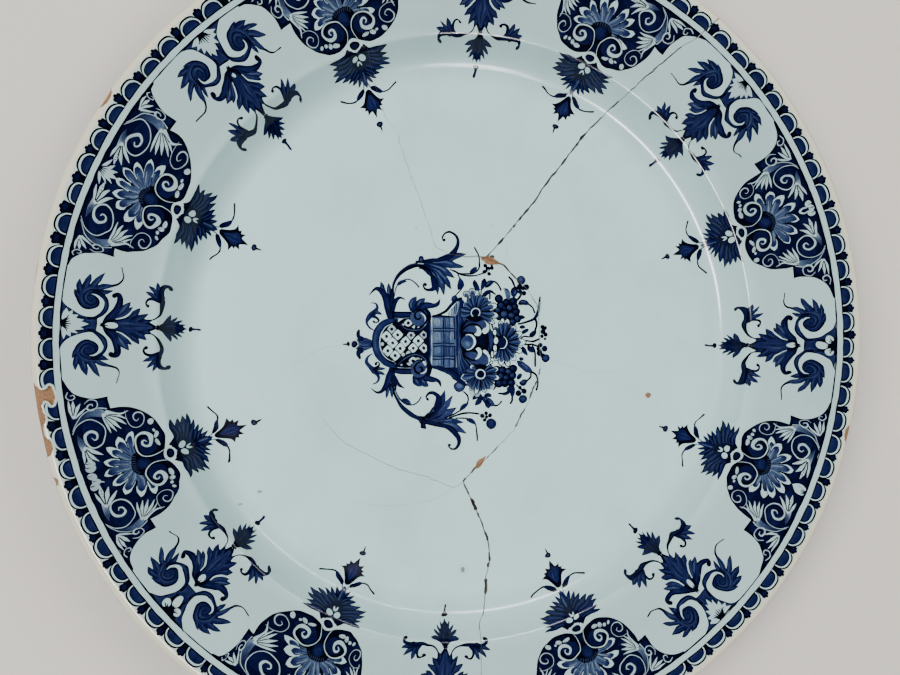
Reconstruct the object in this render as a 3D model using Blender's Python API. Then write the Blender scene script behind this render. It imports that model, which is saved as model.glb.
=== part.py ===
"""A large round tin-glazed earthenware dish, broken into three fragments.

The dish was thrown and turned as one piece, so its form is one section turned
about +Z, a little out of round from the kiln. The breaks run right through the
ware along routes in plan. The fragments lie fitted together, a hair's breadth
apart, on what is left of the turned foot ring. Nothing joins them.

Frame: metres, +Z up, origin at the centre of the foot's resting plane.
Run with: blender --background --python part.py
"""

import math

import bmesh
import bpy
from mathutils import Vector

# ---------------------------------------------------------------- driving dimensions
MM = 0.001                    # the tables below are in millimetres

RIM_RADIUS = 280.0            # mean radius of the lip
OUT_OF_ROUND = 0.0096         # the kiln left the dish wider along one axis
LONG_AXIS = math.radians(81.5)
SEGMENTS = 96                 # facets round the dish

FLOOR_TOP = 14.0              # glazed floor above the resting plane
BASE_UNDER = 5.0              # underside of the base above the resting plane
WALL_ANGLE = math.radians(58.0)
RIM_ANGLE = math.radians(17.0)
FLOOR_CORNER = 197.1          # where floor and wall lines meet, before rounding
SHOULDER = 210.2              # where wall and rim lines meet, before rounding
WARE = 8.0                    # thickness of wall and rim
FOOT_OUTER, FOOT_INNER = 150.0, 142.0

FLOOR_FILLET, SHOULDER_FILLET, LIP_FILLET = 20.0, 6.0, 3.98
UNDER_FILLET, BASE_FILLET = 5.0, 26.0

OPEN_GAP = 0.7                # width of the breaks that stand open
TIGHT_GAP = 0.3               # width of the break that still fits tight
PAST_RIM = 310.0              # cutting prisms reach this far from the centre
CUT_LOW, CUT_HIGH = -5.0, 70.0

GLAZE_COLOUR = (0.62, 0.69, 0.68, 1.0)

# Break routes in plan, from the point where the three fragments meet outwards.
MEETING = (18.0, 58.0)
UPPER_RIGHT_BREAK = [
    (30, 71), (41, 84.5), (53, 98.5), (62, 112), (75, 128.5), (91, 149.5),
    (107, 166), (118, 175), (135, 190), (152, 203.5), (159, 207), (174, 219.5),
    (200, 240),
]
LOWER_BREAK = [
    (31, 53), (37, 46), (42, 42), (50, 34), (56, 24), (58, 8), (58, -8),
    (59, -16), (57, -29), (52, -40), (48, -50), (41, -63), (39, -68),
    (31, -76), (19, -88), (10, -96), (1, -105), (8, -119), (15, -135),
    (19, -147), (21, -163), (18, -175), (18, -183), (16, -199), (12, -205),
    (11, -232), (13, -258), (12, -310),
]
TIGHT_BREAK = [
    (12, 59), (3, 59), (-9, 61), (-19, 66), (-23, 79), (-30, 100), (-36, 115),
    (-44, 138), (-46, 148), (-54, 157), (-61, 178), (-66, 196), (-73, 217),
    (-79, 236), (-86, 257), (-99, 296),
]

# Glaze and clay lost from the lip: angle, half length along the lip, depth
# inwards from the lip, and half height of the bite.
LIP_CHIPS = [
    (41.0, 3.5, 1.5, 2.5), (12.8, 3.5, 2.2, 2.8), (-12.8, 5.5, 2.6, 3.2),
    (-22.8, 5.0, 0.9, 2.0), (145.7, 5.5, 2.8, 3.4), (171.0, 9.0, 1.0, 2.2),
    (186.5, 9.0, 3.6, 4.2), (190.6, 8.0, 3.0, 3.8), (194.8, 8.0, 3.2, 3.8),
    (199.9, 2.8, 2.2, 3.0),
]
# Shallow losses on the upper surface: place in plan, half length, half width,
# depth, and the turn of the long side.
FACE_CHIPS = [
    (20.5, 54.8, 7.0, 2.6, 1.2, -25.0),      # clay bared where the breaks meet
    (13.5, -92.0, 5.0, 2.0, 0.9, 48.0),      # on the lower break
    (139.9, -43.2, 2.6, 2.6, 1.0, 0.0),      # round pit
    (-270.0, -37.5, 5.0, 3.2, 1.0, 8.0),     # tongue in from the left lip
]


# ---------------------------------------------------------------- section
def fillet(before, corner, after, radius, steps):
    """Points of an arc that rounds one corner of the section.

    Args:
        before, corner, after: (r, z) points; the arc is tangent to both lines.
        radius: radius of the arc.
        steps: number of chords in the arc.

    Returns:
        A list of steps + 1 (r, z) points.
    """
    into = (Vector(before) - Vector(corner)).normalized()
    out = (Vector(after) - Vector(corner)).normalized()
    half = math.acos(max(-1.0, min(1.0, into.dot(out)))) / 2
    start = Vector(corner) + into * (radius / math.tan(half))
    end = Vector(corner) + out * (radius / math.tan(half))
    centre = Vector(corner) + (into + out).normalized() * (radius / math.sin(half))
    first = math.atan2(*(start - centre).yx)
    sweep = math.atan2(*(end - centre).yx) - first
    sweep = (sweep + math.pi) % (2 * math.pi) - math.pi
    return [
        (centre.x + radius * math.cos(first + sweep * k / steps),
         centre.y + radius * math.sin(first + sweep * k / steps))
        for k in range(steps + 1)
    ]


def section_corners():
    """Corners of the section as (r, z, fillet radius, chords).

    They run from the middle of the floor out over the rim to the lip, and back
    under the ware to the middle of the base.
    """
    shoulder_z = FLOOR_TOP + (SHOULDER - FLOOR_CORNER) * math.tan(WALL_ANGLE)
    lip_z = shoulder_z + (RIM_RADIUS - SHOULDER) * math.tan(RIM_ANGLE)
    under_lip_z = lip_z - WARE / math.cos(RIM_ANGLE)
    # the underside of the wall and of the rim are both one ware-thickness away
    wall_shift = WARE / math.sin(WALL_ANGLE)
    rim_drop = WARE / math.cos(RIM_ANGLE)
    slope_gap = math.tan(WALL_ANGLE) - math.tan(RIM_ANGLE)
    under_r = SHOULDER + (wall_shift * math.tan(WALL_ANGLE) - rim_drop) / slope_gap
    under_z = shoulder_z - rim_drop + (under_r - SHOULDER) * math.tan(RIM_ANGLE)
    base_r = under_r - (under_z - BASE_UNDER) / math.tan(WALL_ANGLE)
    return [
        (0.0, FLOOR_TOP, 0, 0),
        (FLOOR_CORNER, FLOOR_TOP, FLOOR_FILLET, 6),
        (SHOULDER, shoulder_z, SHOULDER_FILLET, 4),
        (RIM_RADIUS, lip_z, LIP_FILLET, 6),
        (RIM_RADIUS, under_lip_z, LIP_FILLET, 4),
        (under_r, under_z, UNDER_FILLET, 3),
        (base_r, BASE_UNDER, BASE_FILLET, 5),
        (FOOT_OUTER + 2, BASE_UNDER, 0, 0),
        (FOOT_OUTER, 0.0, 0, 0),
        (FOOT_INNER, 0.0, 0, 0),
        (FOOT_INNER - 3, BASE_UNDER, 0, 0),
        (0.0, BASE_UNDER, 0, 0),
    ]


def dish_section():
    """The whole section as (r, z) points, with every corner rounded."""
    corners = section_corners()
    points = []
    for k, (r, z, radius, steps) in enumerate(corners):
        if radius:
            points += fillet(corners[k - 1][:2], (r, z), corners[k + 1][:2], radius, steps)
        else:
            points.append((r, z))
    # the two arcs of the lip end on each other
    return [p for k, p in enumerate(points)
            if k == 0 or math.dist(p, points[k - 1]) > 0.05]


def rim_stretch(angle):
    """How far the dish is stretched at one angle by its being out of round."""
    return 1 + OUT_OF_ROUND * math.cos(2 * (angle - LONG_AXIS))


def top_height(radius):
    """Height of the upper surface at one radius, read from the section."""
    section = dish_section()
    for (r0, z0), (r1, z1) in zip(section, section[1:]):
        if r0 <= radius <= r1:
            return z0 + (z1 - z0) * (radius - r0) / (r1 - r0)
    return section[0][1]


# ---------------------------------------------------------------- meshes
def mesh_object(name, bm):
    """Turn a bmesh in millimetres into a linked object in metres."""
    bmesh.ops.recalc_face_normals(bm, faces=bm.faces)
    bmesh.ops.scale(bm, vec=(MM, MM, MM), verts=bm.verts)
    mesh = bpy.data.meshes.new(name)
    bm.to_mesh(mesh)
    bm.free()
    obj = bpy.data.objects.new(name, mesh)
    bpy.context.collection.objects.link(obj)
    return obj


def turned_dish():
    """The whole dish: its section turned about +Z, closed at both middles."""
    bm = bmesh.new()
    section = dish_section()
    angles = [2 * math.pi * k / SEGMENTS for k in range(SEGMENTS)]
    top = bm.verts.new((0, 0, section[0][1]))
    bottom = bm.verts.new((0, 0, section[-1][1]))
    rings = []
    for r, z in section[1:-1]:
        rings.append([
            bm.verts.new((r * rim_stretch(a) * math.cos(a), r * rim_stretch(a) * math.sin(a), z))
            for a in angles
        ])
    for k in range(SEGMENTS):
        n = (k + 1) % SEGMENTS
        bm.faces.new((top, rings[0][k], rings[0][n]))
        bm.faces.new((bottom, rings[-1][n], rings[-1][k]))
        for inner, outer in zip(rings, rings[1:]):
            bm.faces.new((inner[k], outer[k], outer[n], inner[n]))
    return mesh_object("dish", bm)


def prism(name, outline):
    """A closed upright prism over an anticlockwise outline in plan."""
    bm = bmesh.new()
    low = [bm.verts.new((x, y, CUT_LOW)) for x, y in outline]
    high = [bm.verts.new((x, y, CUT_HIGH)) for x, y in outline]
    bm.faces.new(list(reversed(low)))
    bm.faces.new(high)
    for k in range(len(outline)):
        n = (k + 1) % len(outline)
        bm.faces.new((low[k], low[n], high[n], high[k]))
    return mesh_object(name, bm)


def scoop(name, centre, half_sizes, turn):
    """A small faceted ellipsoid that bites a shell-shaped chip out of the ware."""
    bm = bmesh.new()
    bmesh.ops.create_icosphere(bm, subdivisions=2, radius=1.0)
    for vert in bm.verts:
        x, y, z = (c * half for c, half in zip(vert.co, half_sizes))
        vert.co = (
            centre[0] + x * math.cos(turn) - y * math.sin(turn),
            centre[1] + x * math.sin(turn) + y * math.cos(turn),
            centre[2] + z,
        )
    return mesh_object(name, bm)


def combine(target, cutter, operation, keep_cutter=False):
    """Apply one exact Boolean to the target's mesh.

    Args:
        target: object whose mesh is changed.
        cutter: object that cuts it or is shared with it.
        operation: "DIFFERENCE" or "INTERSECT".
        keep_cutter: leave the cutter in the scene for another use.
    """
    step = target.modifiers.new(operation.lower(), "BOOLEAN")
    step.operation = operation
    step.solver = "EXACT"
    step.object = cutter
    depsgraph = bpy.context.evaluated_depsgraph_get()
    result = bpy.data.meshes.new_from_object(target.evaluated_get(depsgraph))
    target.modifiers.clear()
    old = target.data
    target.data = result
    bpy.data.meshes.remove(old)
    if not keep_cutter:
        bpy.data.objects.remove(cutter, do_unlink=True)


# ---------------------------------------------------------------- breaks
def inset(points, margins):
    """Move each side of an anticlockwise outline inwards by its own margin.

    Args:
        points: corners in plan; side k runs from corner k to corner k + 1.
        margins: how far each side moves inwards.

    Returns:
        The new corners, each where its two moved sides meet.
    """
    moved = []
    count = len(points)
    for k in range(count):
        a, b, c = (Vector(points[(k + s) % count]) for s in (-1, 0, 1))
        d0, d1 = (b - a).normalized(), (c - b).normalized()
        n0, n1 = Vector((-d0.y, d0.x)), Vector((-d1.y, d1.x))
        m0, m1 = margins[k - 1], margins[k]
        turn = d0.x * d1.y - d0.y * d1.x
        if abs(turn) < 1e-4:
            moved.append(tuple(b + n1 * (m0 + m1) / 2))
            continue
        # solve b + n0 m0 + d0 s = b + n1 m1 + d1 t for s
        gap = n1 * m1 - n0 * m0
        s = (gap.x * d1.y - gap.y * d1.x) / turn
        moved.append(tuple(b + n0 * m0 + d0 * s))
    return moved


def beyond_rim(start, end, steps):
    """Corners outside the rim, anticlockwise from one break's end to another's."""
    first = math.atan2(start[1], start[0])
    sweep = (math.atan2(end[1], end[0]) - first) % (2 * math.pi)
    return [
        (1.15 * PAST_RIM * math.cos(first + sweep * k / steps),
         1.15 * PAST_RIM * math.sin(first + sweep * k / steps))
        for k in range(1, steps)
    ]


def fragment_outline(leave, back, leave_gap, back_gap, steps):
    """Outline of one fragment's prism.

    Args:
        leave: break followed outwards from the meeting point; the fragment is
            on its left.
        back: break followed back to the meeting point.
        leave_gap, back_gap: full widths of those two breaks.
        steps: number of sides used outside the rim.

    Returns:
        Anticlockwise corners, set back by half of each break's width.
    """
    outside = beyond_rim(leave[-1], back[-1], steps)
    points = [MEETING, *leave, *outside, *reversed(back)]
    margins = (
        [leave_gap / 2] * len(leave)
        + [0.0] * (len(outside) + 1)
        + [back_gap / 2] * len(back)
    )
    return inset(points, margins)


def cut_chips(dish):
    """Bite the lost glaze and clay out of the lip and the upper surface."""
    lip_centre_z = max(z for _, z in dish_section()) - LIP_FILLET
    for degrees, half_length, depth, half_height in LIP_CHIPS:
        angle = math.radians(degrees)
        half_depth = depth + 1.5
        radius = RIM_RADIUS * rim_stretch(angle) - depth + half_depth
        centre = (radius * math.cos(angle), radius * math.sin(angle), lip_centre_z + 1.0)
        combine(
            dish,
            scoop("chip", centre, (half_depth, half_length, half_height), angle),
            "DIFFERENCE",
        )
    for x, y, half_length, half_width, depth, degrees in FACE_CHIPS:
        radius = math.hypot(x, y) / rim_stretch(math.atan2(y, x))
        centre = (x, y, top_height(radius))
        combine(
            dish,
            scoop("chip", centre, (half_length, half_width, depth), math.radians(degrees)),
            "DIFFERENCE",
        )


def glazed_earthenware(name):
    """Tin glaze over earthenware: pale, smooth and glossy."""
    material = bpy.data.materials.new(name)
    material.use_nodes = True
    shader = material.node_tree.nodes["Principled BSDF"]
    shader.inputs["Base Color"].default_value = GLAZE_COLOUR
    shader.inputs["Roughness"].default_value = 0.18
    shader.inputs["Metallic"].default_value = 0.0
    material.diffuse_color = GLAZE_COLOUR
    return material


def build():
    """Build the three fragments, each from the whole dish and its own prism."""
    for obj in list(bpy.data.objects):
        bpy.data.objects.remove(obj, do_unlink=True)

    dish = turned_dish()
    cut_chips(dish)
    outlines = {
        "right_fragment": fragment_outline(
            LOWER_BREAK, UPPER_RIGHT_BREAK, OPEN_GAP, OPEN_GAP, 8),
        "top_fragment": fragment_outline(
            UPPER_RIGHT_BREAK, TIGHT_BREAK, OPEN_GAP, TIGHT_GAP, 4),
        "left_fragment": fragment_outline(
            TIGHT_BREAK, LOWER_BREAK, TIGHT_GAP, OPEN_GAP, 9),
    }
    for name, outline in outlines.items():
        fragment = dish.copy()
        fragment.data = dish.data.copy()
        fragment.name = name
        fragment.data.name = name
        bpy.context.collection.objects.link(fragment)
        combine(fragment, prism("prism", outline), "INTERSECT")
        fragment.data.materials.clear()
        fragment.data.materials.append(glazed_earthenware(name + "_glaze"))
    bpy.data.objects.remove(dish, do_unlink=True)


build()
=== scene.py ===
"""Looks of a large tin-glazed earthenware dish that lies broken in three fragments.

The whole painted face is laid out once in plan, in millimetres: the breaks, the
lost glaze, the hairlines and every brush stroke are outlines of one flat
triangulation, so the painting has sharp edges and crosses the breaks as it does
on a real dish. Each fragment then takes its own triangles, is lifted to the
turned section, and is closed with a rough broken wall and an underside.
"""

from __future__ import annotations

import logging
import math
from collections.abc import Callable, Sequence
from dataclasses import dataclass, field, replace
from enum import Enum

import bpy
import numpy as np
from mathutils import Matrix, Vector
from mathutils.geometry import delaunay_2d_cdt

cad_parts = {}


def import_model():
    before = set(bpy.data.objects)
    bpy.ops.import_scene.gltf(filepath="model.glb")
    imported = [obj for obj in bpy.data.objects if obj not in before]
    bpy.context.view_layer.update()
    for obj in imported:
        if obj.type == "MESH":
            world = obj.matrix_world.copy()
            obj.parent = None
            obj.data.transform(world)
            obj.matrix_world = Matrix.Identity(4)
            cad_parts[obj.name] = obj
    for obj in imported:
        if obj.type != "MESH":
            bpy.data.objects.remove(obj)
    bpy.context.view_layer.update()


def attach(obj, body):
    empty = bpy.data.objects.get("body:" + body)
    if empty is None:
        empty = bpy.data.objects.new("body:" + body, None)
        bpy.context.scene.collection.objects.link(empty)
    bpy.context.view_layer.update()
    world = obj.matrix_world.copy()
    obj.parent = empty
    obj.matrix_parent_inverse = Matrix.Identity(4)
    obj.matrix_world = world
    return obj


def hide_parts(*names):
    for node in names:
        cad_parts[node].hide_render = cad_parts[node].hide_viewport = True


LOG = logging.getLogger("dish")

Array = np.ndarray
Point = tuple[float, float]
Points = Sequence[Point]
Lay = Callable[[Array], Array]

MM = 0.001                       # the sizes below are in millimetres

RIM = 280.0                      # mean radius of the lip
BAND = 263.0                     # radius that the border's own arc lengths are measured on
OUT_OF_ROUND = 0.0096
LONG_AXIS = math.radians(81.5)
WITHIN = 0.9996                  # keeps the glazed surface just inside the solid's lip
LIP_POINTS = 1100                # points round the lip
LIP_GROWTH = 3.05                # how much farther out the lip's worn edge reaches
LIP_SHIFT = 0.65                 # how far the lip's edge stands off centre
LIP_AZIMUTH = math.radians(128.0)
LIP_START = 273.5                # radius where the growth begins
REACH = 285                      # half the side of the square that lattices fill
MEETING: Point = (18.0, 58.0)    # where the three fragments meet


# ---------------------------------------------------------------- small tools
def linear(hex_colour: str, alpha: float = 1.0) -> tuple[float, float, float, float]:
    """Turn an sRGB hex colour into linear light.

    Args:
        hex_colour: six hex digits.
        alpha: fourth number of the result.

    Returns:
        Linear red, green and blue, and alpha.
    """
    parts = [int(hex_colour[k:k + 2], 16) / 255 for k in (0, 2, 4)]
    red, green, blue = (
        c / 12.92 if c <= 0.04045 else ((c + 0.055) / 1.055) ** 2.4 for c in parts)
    return red, green, blue, alpha


def stretch(theta: Array) -> Array:
    """How far the dish is stretched at each angle by its being out of round."""
    return 1 + OUT_OF_ROUND * np.cos(2 * (theta - LONG_AXIS))


def lip_growth(theta: Array) -> Array:
    """How much wider the lip beyond the painting is at each angle, as a share."""
    return (LIP_GROWTH + LIP_SHIFT * np.cos(theta - LIP_AZIMUTH)) / (RIM - LIP_START)


def polar(radius: Array, theta: Array) -> Array:
    """Plan points of the oval dish; radii beyond LIP_START move out by the lip's growth."""
    far = (radius + lip_growth(theta) * np.maximum(radius - LIP_START, 0)) * stretch(theta)
    return np.stack([far * np.cos(theta), far * np.sin(theta)], axis=-1)


def round_radius(points: Array) -> Array:
    """Radius of each plan point once the dish is made round and centred again.

    Args:
        points: plan points.

    Returns:
        One radius a point.
    """
    theta = np.arctan2(points[..., 1], points[..., 0])
    radius = np.hypot(points[..., 0], points[..., 1]) / stretch(theta)
    beyond = np.maximum(radius - LIP_START, 0)
    return radius - beyond + beyond / (1 + lip_growth(theta))


def curve(points: Points, step: float = 0.9) -> Array:
    """Smooth curve through the points, by Catmull-Rom.

    Each span is the cubic that leaves and enters its ends along the line that
    joins their neighbours.

    Args:
        points: where the curve passes.
        step: spacing of the samples along it.

    Returns:
        Sampled points, the first and last ones included.
    """
    knots = np.asarray(points, float)
    padded = np.vstack([2 * knots[0] - knots[1], knots, 2 * knots[-1] - knots[-2]])
    spans = np.linalg.norm(np.diff(knots, axis=0), axis=1)
    counts = np.maximum(1, np.ceil(spans / step).astype(int))
    if len(knots) == 2:
        counts = np.array([max(2, int(spans[0] / 3))])
    span = np.repeat(np.arange(len(spans)), counts)
    first = np.repeat(np.cumsum(counts) - counts, counts)
    t = ((np.arange(len(span)) - first) / counts[span])[:, None]
    a, b, c, d = (padded[span + k] for k in range(4))
    body = 0.5 * (2 * b + (c - a) * t + (2 * a - 5 * b + 4 * c - d) * t ** 2
                  + (3 * b - a - 3 * c + d) * t ** 3)
    return np.vstack([body, knots[-1:]])


def across(path: Array) -> Array:
    """Unit vectors square to an open path, on its left, one at each point.

    Args:
        path: points of the path, in order.

    Returns:
        One vector a point.
    """
    along = np.gradient(path, axis=0)
    along /= np.maximum(np.linalg.norm(along, axis=1, keepdims=True), 1e-9)
    return np.stack([-along[:, 1], along[:, 0]], axis=1)


def thinned(outline: Array, slack: float = 0.05) -> Array:
    """Leave out points of a closed line that its neighbours make needless.

    In each pass every other point goes, if it lies nearer than slack to the
    straight line between its two neighbours.

    Args:
        outline: plan points of the closed line.
        slack: how far the line may move, in millimetres.

    Returns:
        The points that stay.
    """
    for odd in (1, 0, 1):
        before, after = np.roll(outline, 1, axis=0), np.roll(outline, -1, axis=0)
        chord, arm = after - before, outline - before
        off = np.abs(chord[:, 0] * arm[:, 1] - chord[:, 1] * arm[:, 0])
        off /= np.maximum(np.hypot(chord[:, 0], chord[:, 1]), 1e-9)
        stays = (off > slack) | (np.arange(len(outline)) % 2 != odd)
        stays[0] = True
        if stays.sum() < 6:
            break
        outline = outline[stays]
    return outline


def wander(rng: np.random.Generator, length: float, spacing: float, at: Array) -> Array:
    """Smooth random numbers of about unit size along a line: knots joined straight."""
    knots = np.arange(0.0, length + 2 * spacing, spacing)
    return np.interp(at, knots, rng.normal(size=len(knots)))


def rotated(centre: Point, x: Array, y: Array, degrees: float) -> Array:
    """Points at x and y from a centre, once the figure is turned about it.

    Args:
        centre: middle of the figure.
        x: places along the unturned figure.
        y: places across it.
        degrees: how far it is turned.

    Returns:
        Plan points.
    """
    turn = math.radians(degrees)
    return np.stack([centre[0] + x * math.cos(turn) - y * math.sin(turn),
                     centre[1] + x * math.sin(turn) + y * math.cos(turn)], axis=1)


def spread(widths: Sequence[float] | float, count: int) -> Array:
    """Half-widths spread evenly over so many points of a line.

    Args:
        widths: one half-width, or several from start to end.
        count: how many points the line has.

    Returns:
        One half-width a point.
    """
    half = np.atleast_1d(np.asarray(widths, float))
    half = np.repeat(half, 2) if len(half) == 1 else half
    return np.interp(np.linspace(0, 1, count), np.linspace(0, 1, len(half)), half)


def lattice(spacing: float) -> Array:
    """Corners of even triangles that fill a square wider than the dish, in plan.

    Args:
        spacing: side of a triangle.

    Returns:
        Plan points.
    """
    tall = spacing * 0.866       # height of such a triangle
    rows = np.arange(-REACH, REACH + 1, tall)
    x, y = np.meshgrid(np.arange(-REACH, REACH + 1, spacing), rows)
    x = x + (np.arange(len(rows)) % 2)[:, None] * spacing / 2
    return np.stack([x.ravel(), y.ravel()], axis=1)


def inside(points: Array, outline: Array) -> Array:
    """Which points lie inside a closed outline, by its winding number.

    Args:
        points: plan points.
        outline: corners of the outline, in order, not repeated at the end.

    Returns:
        One truth value a point. An outline that overlaps itself counts whole.
    """
    x, y = points[:, 0:1], points[:, 1:2]
    x0, y0 = outline[None, :, 0], outline[None, :, 1]
    x1, y1 = np.roll(x0, -1, axis=1), np.roll(y0, -1, axis=1)
    side = (x1 - x0) * (y - y0) - (x - x0) * (y1 - y0)
    up = (y0 <= y) & (y1 > y) & (side > 0)
    down = (y0 > y) & (y1 <= y) & (side < 0)
    return up.sum(axis=1) != down.sum(axis=1)


def distance_to(points: Array, outline: Array) -> Array:
    """Distance from each point to the nearest edge of a closed outline.

    Args:
        points: plan points.
        outline: corners of the line, in order.

    Returns:
        One distance a point.
    """
    start = outline[None]
    edge = np.roll(outline, -1, axis=0)[None] - start
    from_start = points[:, None] - start
    share = (from_start * edge).sum(-1) / np.maximum((edge ** 2).sum(-1), 1e-12)
    near = from_start - np.clip(share, 0, 1)[..., None] * edge
    return np.linalg.norm(near, axis=-1).min(axis=1)


def in_scene(name: str, data: bpy.types.ID) -> bpy.types.Object:
    """Make an object of the data and link it to the scene.

    Args:
        name: the object's name.
        data: its mesh, light or camera.

    Returns:
        The object.
    """
    item = bpy.data.objects.new(name, data)
    bpy.context.scene.collection.objects.link(item)
    return item


# ---------------------------------------------------------------- turned section
@dataclass(frozen=True)
class Section:
    """The section that the dish was turned to, as heights and slopes by radius."""

    floor_top: float = 14.0
    base_under: float = 5.0
    wall_slope: float = math.radians(58.0)
    rim_slope: float = math.radians(17.0)
    floor_corner: float = 197.1
    shoulder: float = 210.2
    ware: float = 8.0
    foot_outer: float = 150.0
    foot_inner: float = 142.0
    lip_fillet: float = 3.98
    seam: float = 5.38           # how far below the lip's top the two surfaces meet

    def corners(self) -> tuple[list[tuple[float, ...]], list[tuple[float, ...]]]:
        """Corners of the upper and of the under surface, as (r, z, fillet).

        Returns:
            The upper and the under line, each from the middle outwards.
        """
        wall, rim = math.tan(self.wall_slope), math.tan(self.rim_slope)
        shoulder_z = self.floor_top + (self.shoulder - self.floor_corner) * wall
        lip_z = shoulder_z + (RIM - self.shoulder) * rim
        drop = self.ware / math.cos(self.rim_slope)
        shift = self.ware / math.sin(self.wall_slope)
        under_r = self.shoulder + (shift * wall - drop) / (wall - rim)
        under_z = shoulder_z - drop + (under_r - self.shoulder) * rim
        base_r = under_r - (under_z - self.base_under) / wall
        upper = [
            (0.0, self.floor_top, 0.0), (self.floor_corner, self.floor_top, 20.0),
            (self.shoulder, shoulder_z, 6.0), (RIM, lip_z, self.lip_fillet),
            (RIM, lip_z - self.seam, 0.0),
        ]
        under = [
            (0.0, self.base_under, 0.0), (self.foot_inner - 3, self.base_under, 0.0),
            (self.foot_inner, 0.0, 0.0), (self.foot_outer, 0.0, 0.0),
            (self.foot_outer + 2, self.base_under, 0.0), (base_r, self.base_under, 26.0),
            (under_r, under_z, 5.0), (RIM, lip_z - drop, self.lip_fillet),
            (RIM, lip_z - self.seam, 0.0),
        ]
        return upper, under

    @staticmethod
    def rounded(corners: list[tuple[float, ...]], steps: int = 30) -> Array:
        """Points of a line of corners with each corner rounded by its fillet.

        Each arc is tangent to both of its lines, and its slope turns evenly.

        Args:
            corners: (r, z, fillet) from the middle outwards.
            steps: chords in each arc.

        Returns:
            Rows of radius, height and slope angle, with radius rising.
        """
        rows: list[tuple[float, float, float]] = []
        for k, (r, z, fillet) in enumerate(corners):
            before = corners[k - 1] if k else corners[1]
            after = corners[k + 1] if k + 1 < len(corners) else corners[k - 1]
            rise0 = math.atan2(z - before[1], r - before[0]) if k else 0.0
            rise1 = math.atan2(after[1] - z, after[0] - r) if k + 1 < len(corners) else rise0
            if not fillet:
                rows += [(r - 1e-6, z, rise0), (r + 1e-6, z, rise1)]
                continue
            turn = rise1 - rise0
            back = fillet * math.tan(abs(turn) / 2)
            start = (r - back * math.cos(rise0), z - back * math.sin(rise0))
            sign = 1.0 if turn > 0 else -1.0
            for slope in np.linspace(rise0, rise1, steps + 1):
                rows.append((
                    start[0] + sign * fillet * (math.sin(slope) - math.sin(rise0)),
                    start[1] + sign * fillet * (math.cos(rise0) - math.cos(slope)),
                    slope,
                ))
        table = np.array(rows)
        table[:, 0] = np.maximum.accumulate(table[:, 0])
        return table

    def read(self, points: Array, upper: bool) -> tuple[Array, Array]:
        """Height of the surface at plan points, and how its slope leans.

        Args:
            points: plan points.
            upper: the glazed face, else the underside.

        Returns:
            Heights, and unit normals of the turned surface facing outwards.
        """
        table = self.rounded(self.corners()[0 if upper else 1])
        radius = round_radius(points) / WITHIN
        height = np.interp(radius, table[:, 0], table[:, 1])
        slope = np.interp(radius, table[:, 0], table[:, 2])
        theta = np.arctan2(points[:, 1], points[:, 0])
        lean, lift = -np.sin(slope), np.cos(slope)
        normal = np.stack([lean * np.cos(theta), lean * np.sin(theta), lift], axis=1)
        return height, normal if upper else -normal


@dataclass(frozen=True)
class Ripple:
    """The slow unevenness of a dish thrown by hand, a few tenths of a millimetre."""

    waves: tuple[tuple[float, float, float, float], ...] = (
        # length of the wave, its direction in degrees, height, phase
        (142.0, 20.0, 0.16, 0.4), (97.0, 112.0, 0.11, 2.1), (61.0, 66.0, 0.05, 4.0),
        (47.0, 151.0, 0.035, 1.2), (28.0, 8.0, 0.013, 5.3), (23.0, 95.0, 0.011, 0.9),
    )
    turning: float = 0.02        # height of the rings left by throwing
    ring_pitch: float = 17.0

    def height(self, points: Array) -> Array:
        """Sum of long sine waves in plan and of fine rings about the middle.

        Args:
            points: plan points.

        Returns:
            One height a point.
        """
        total = np.zeros(len(points))
        for length, degrees, tall, phase in self.waves:
            turn = math.radians(degrees)
            along = points[:, 0] * math.cos(turn) + points[:, 1] * math.sin(turn)
            total += tall * np.sin(2 * math.pi * along / length + phase)
        radius = round_radius(points)
        return total + self.turning * np.sin(2 * math.pi * radius / self.ring_pitch)

    def tilt(self, points: Array) -> Array:
        """Slope of the unevenness in x and y, by central differences.

        Args:
            points: plan points.

        Returns:
            Rise along x and along y, one row a point.
        """
        near = 0.4
        shifts = (np.array([near, 0.0]), np.array([0.0, near]))
        return np.stack([
            (self.height(points + shift) - self.height(points - shift)) / (2 * near)
            for shift in shifts], axis=1)


# ---------------------------------------------------------------- damage
@dataclass(frozen=True)
class LipChip:
    """Glaze and clay lost from the lip, with the outline that it has inwards."""

    degrees: float
    inner: tuple[Point, ...]     # along the lip, and distance in from its edge
    depth: float
    notch: float = 0.5           # how far the lip's own edge is bitten back

    def span(self) -> tuple[float, float]:
        """Where the loss starts and ends along the lip."""
        along = [s for s, _ in self.inner]
        return min(along), max(along)

    def outline(self) -> Array:
        """The inner edge with a fine unevenness, closed outside the lip.

        Returns:
            Plan points, in order.
        """
        rng = np.random.default_rng(int(self.degrees * 10) % 3600)
        edge = curve([(self.inner[0][0], -0.3), *self.inner, (self.inner[-1][0], -0.3)], 0.8)
        edge = edge + 0.14 * rng.normal(size=edge.shape) * (edge[:, 1:] > 0.5)
        theta = math.radians(self.degrees) + edge[:, 0] / RIM
        first, last = theta[0], theta[-1]
        return np.vstack([polar(RIM - edge[:, 1], theta),
                          polar(np.full(2, RIM + 3.0), np.array([last, first]))])

    def bite(self, theta: Array) -> Array:
        """How far the lip's edge stands back at each angle.

        Args:
            theta: angles in radians.

        Returns:
            One distance an angle.
        """
        low, high = self.span()
        away = (theta - math.radians(self.degrees) + math.pi) % (2 * math.pi) - math.pi
        share = np.clip(np.abs(away * RIM * 2 - low - high) / (high - low), 0, 1)
        return self.notch * (1 - share ** 4)


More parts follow.
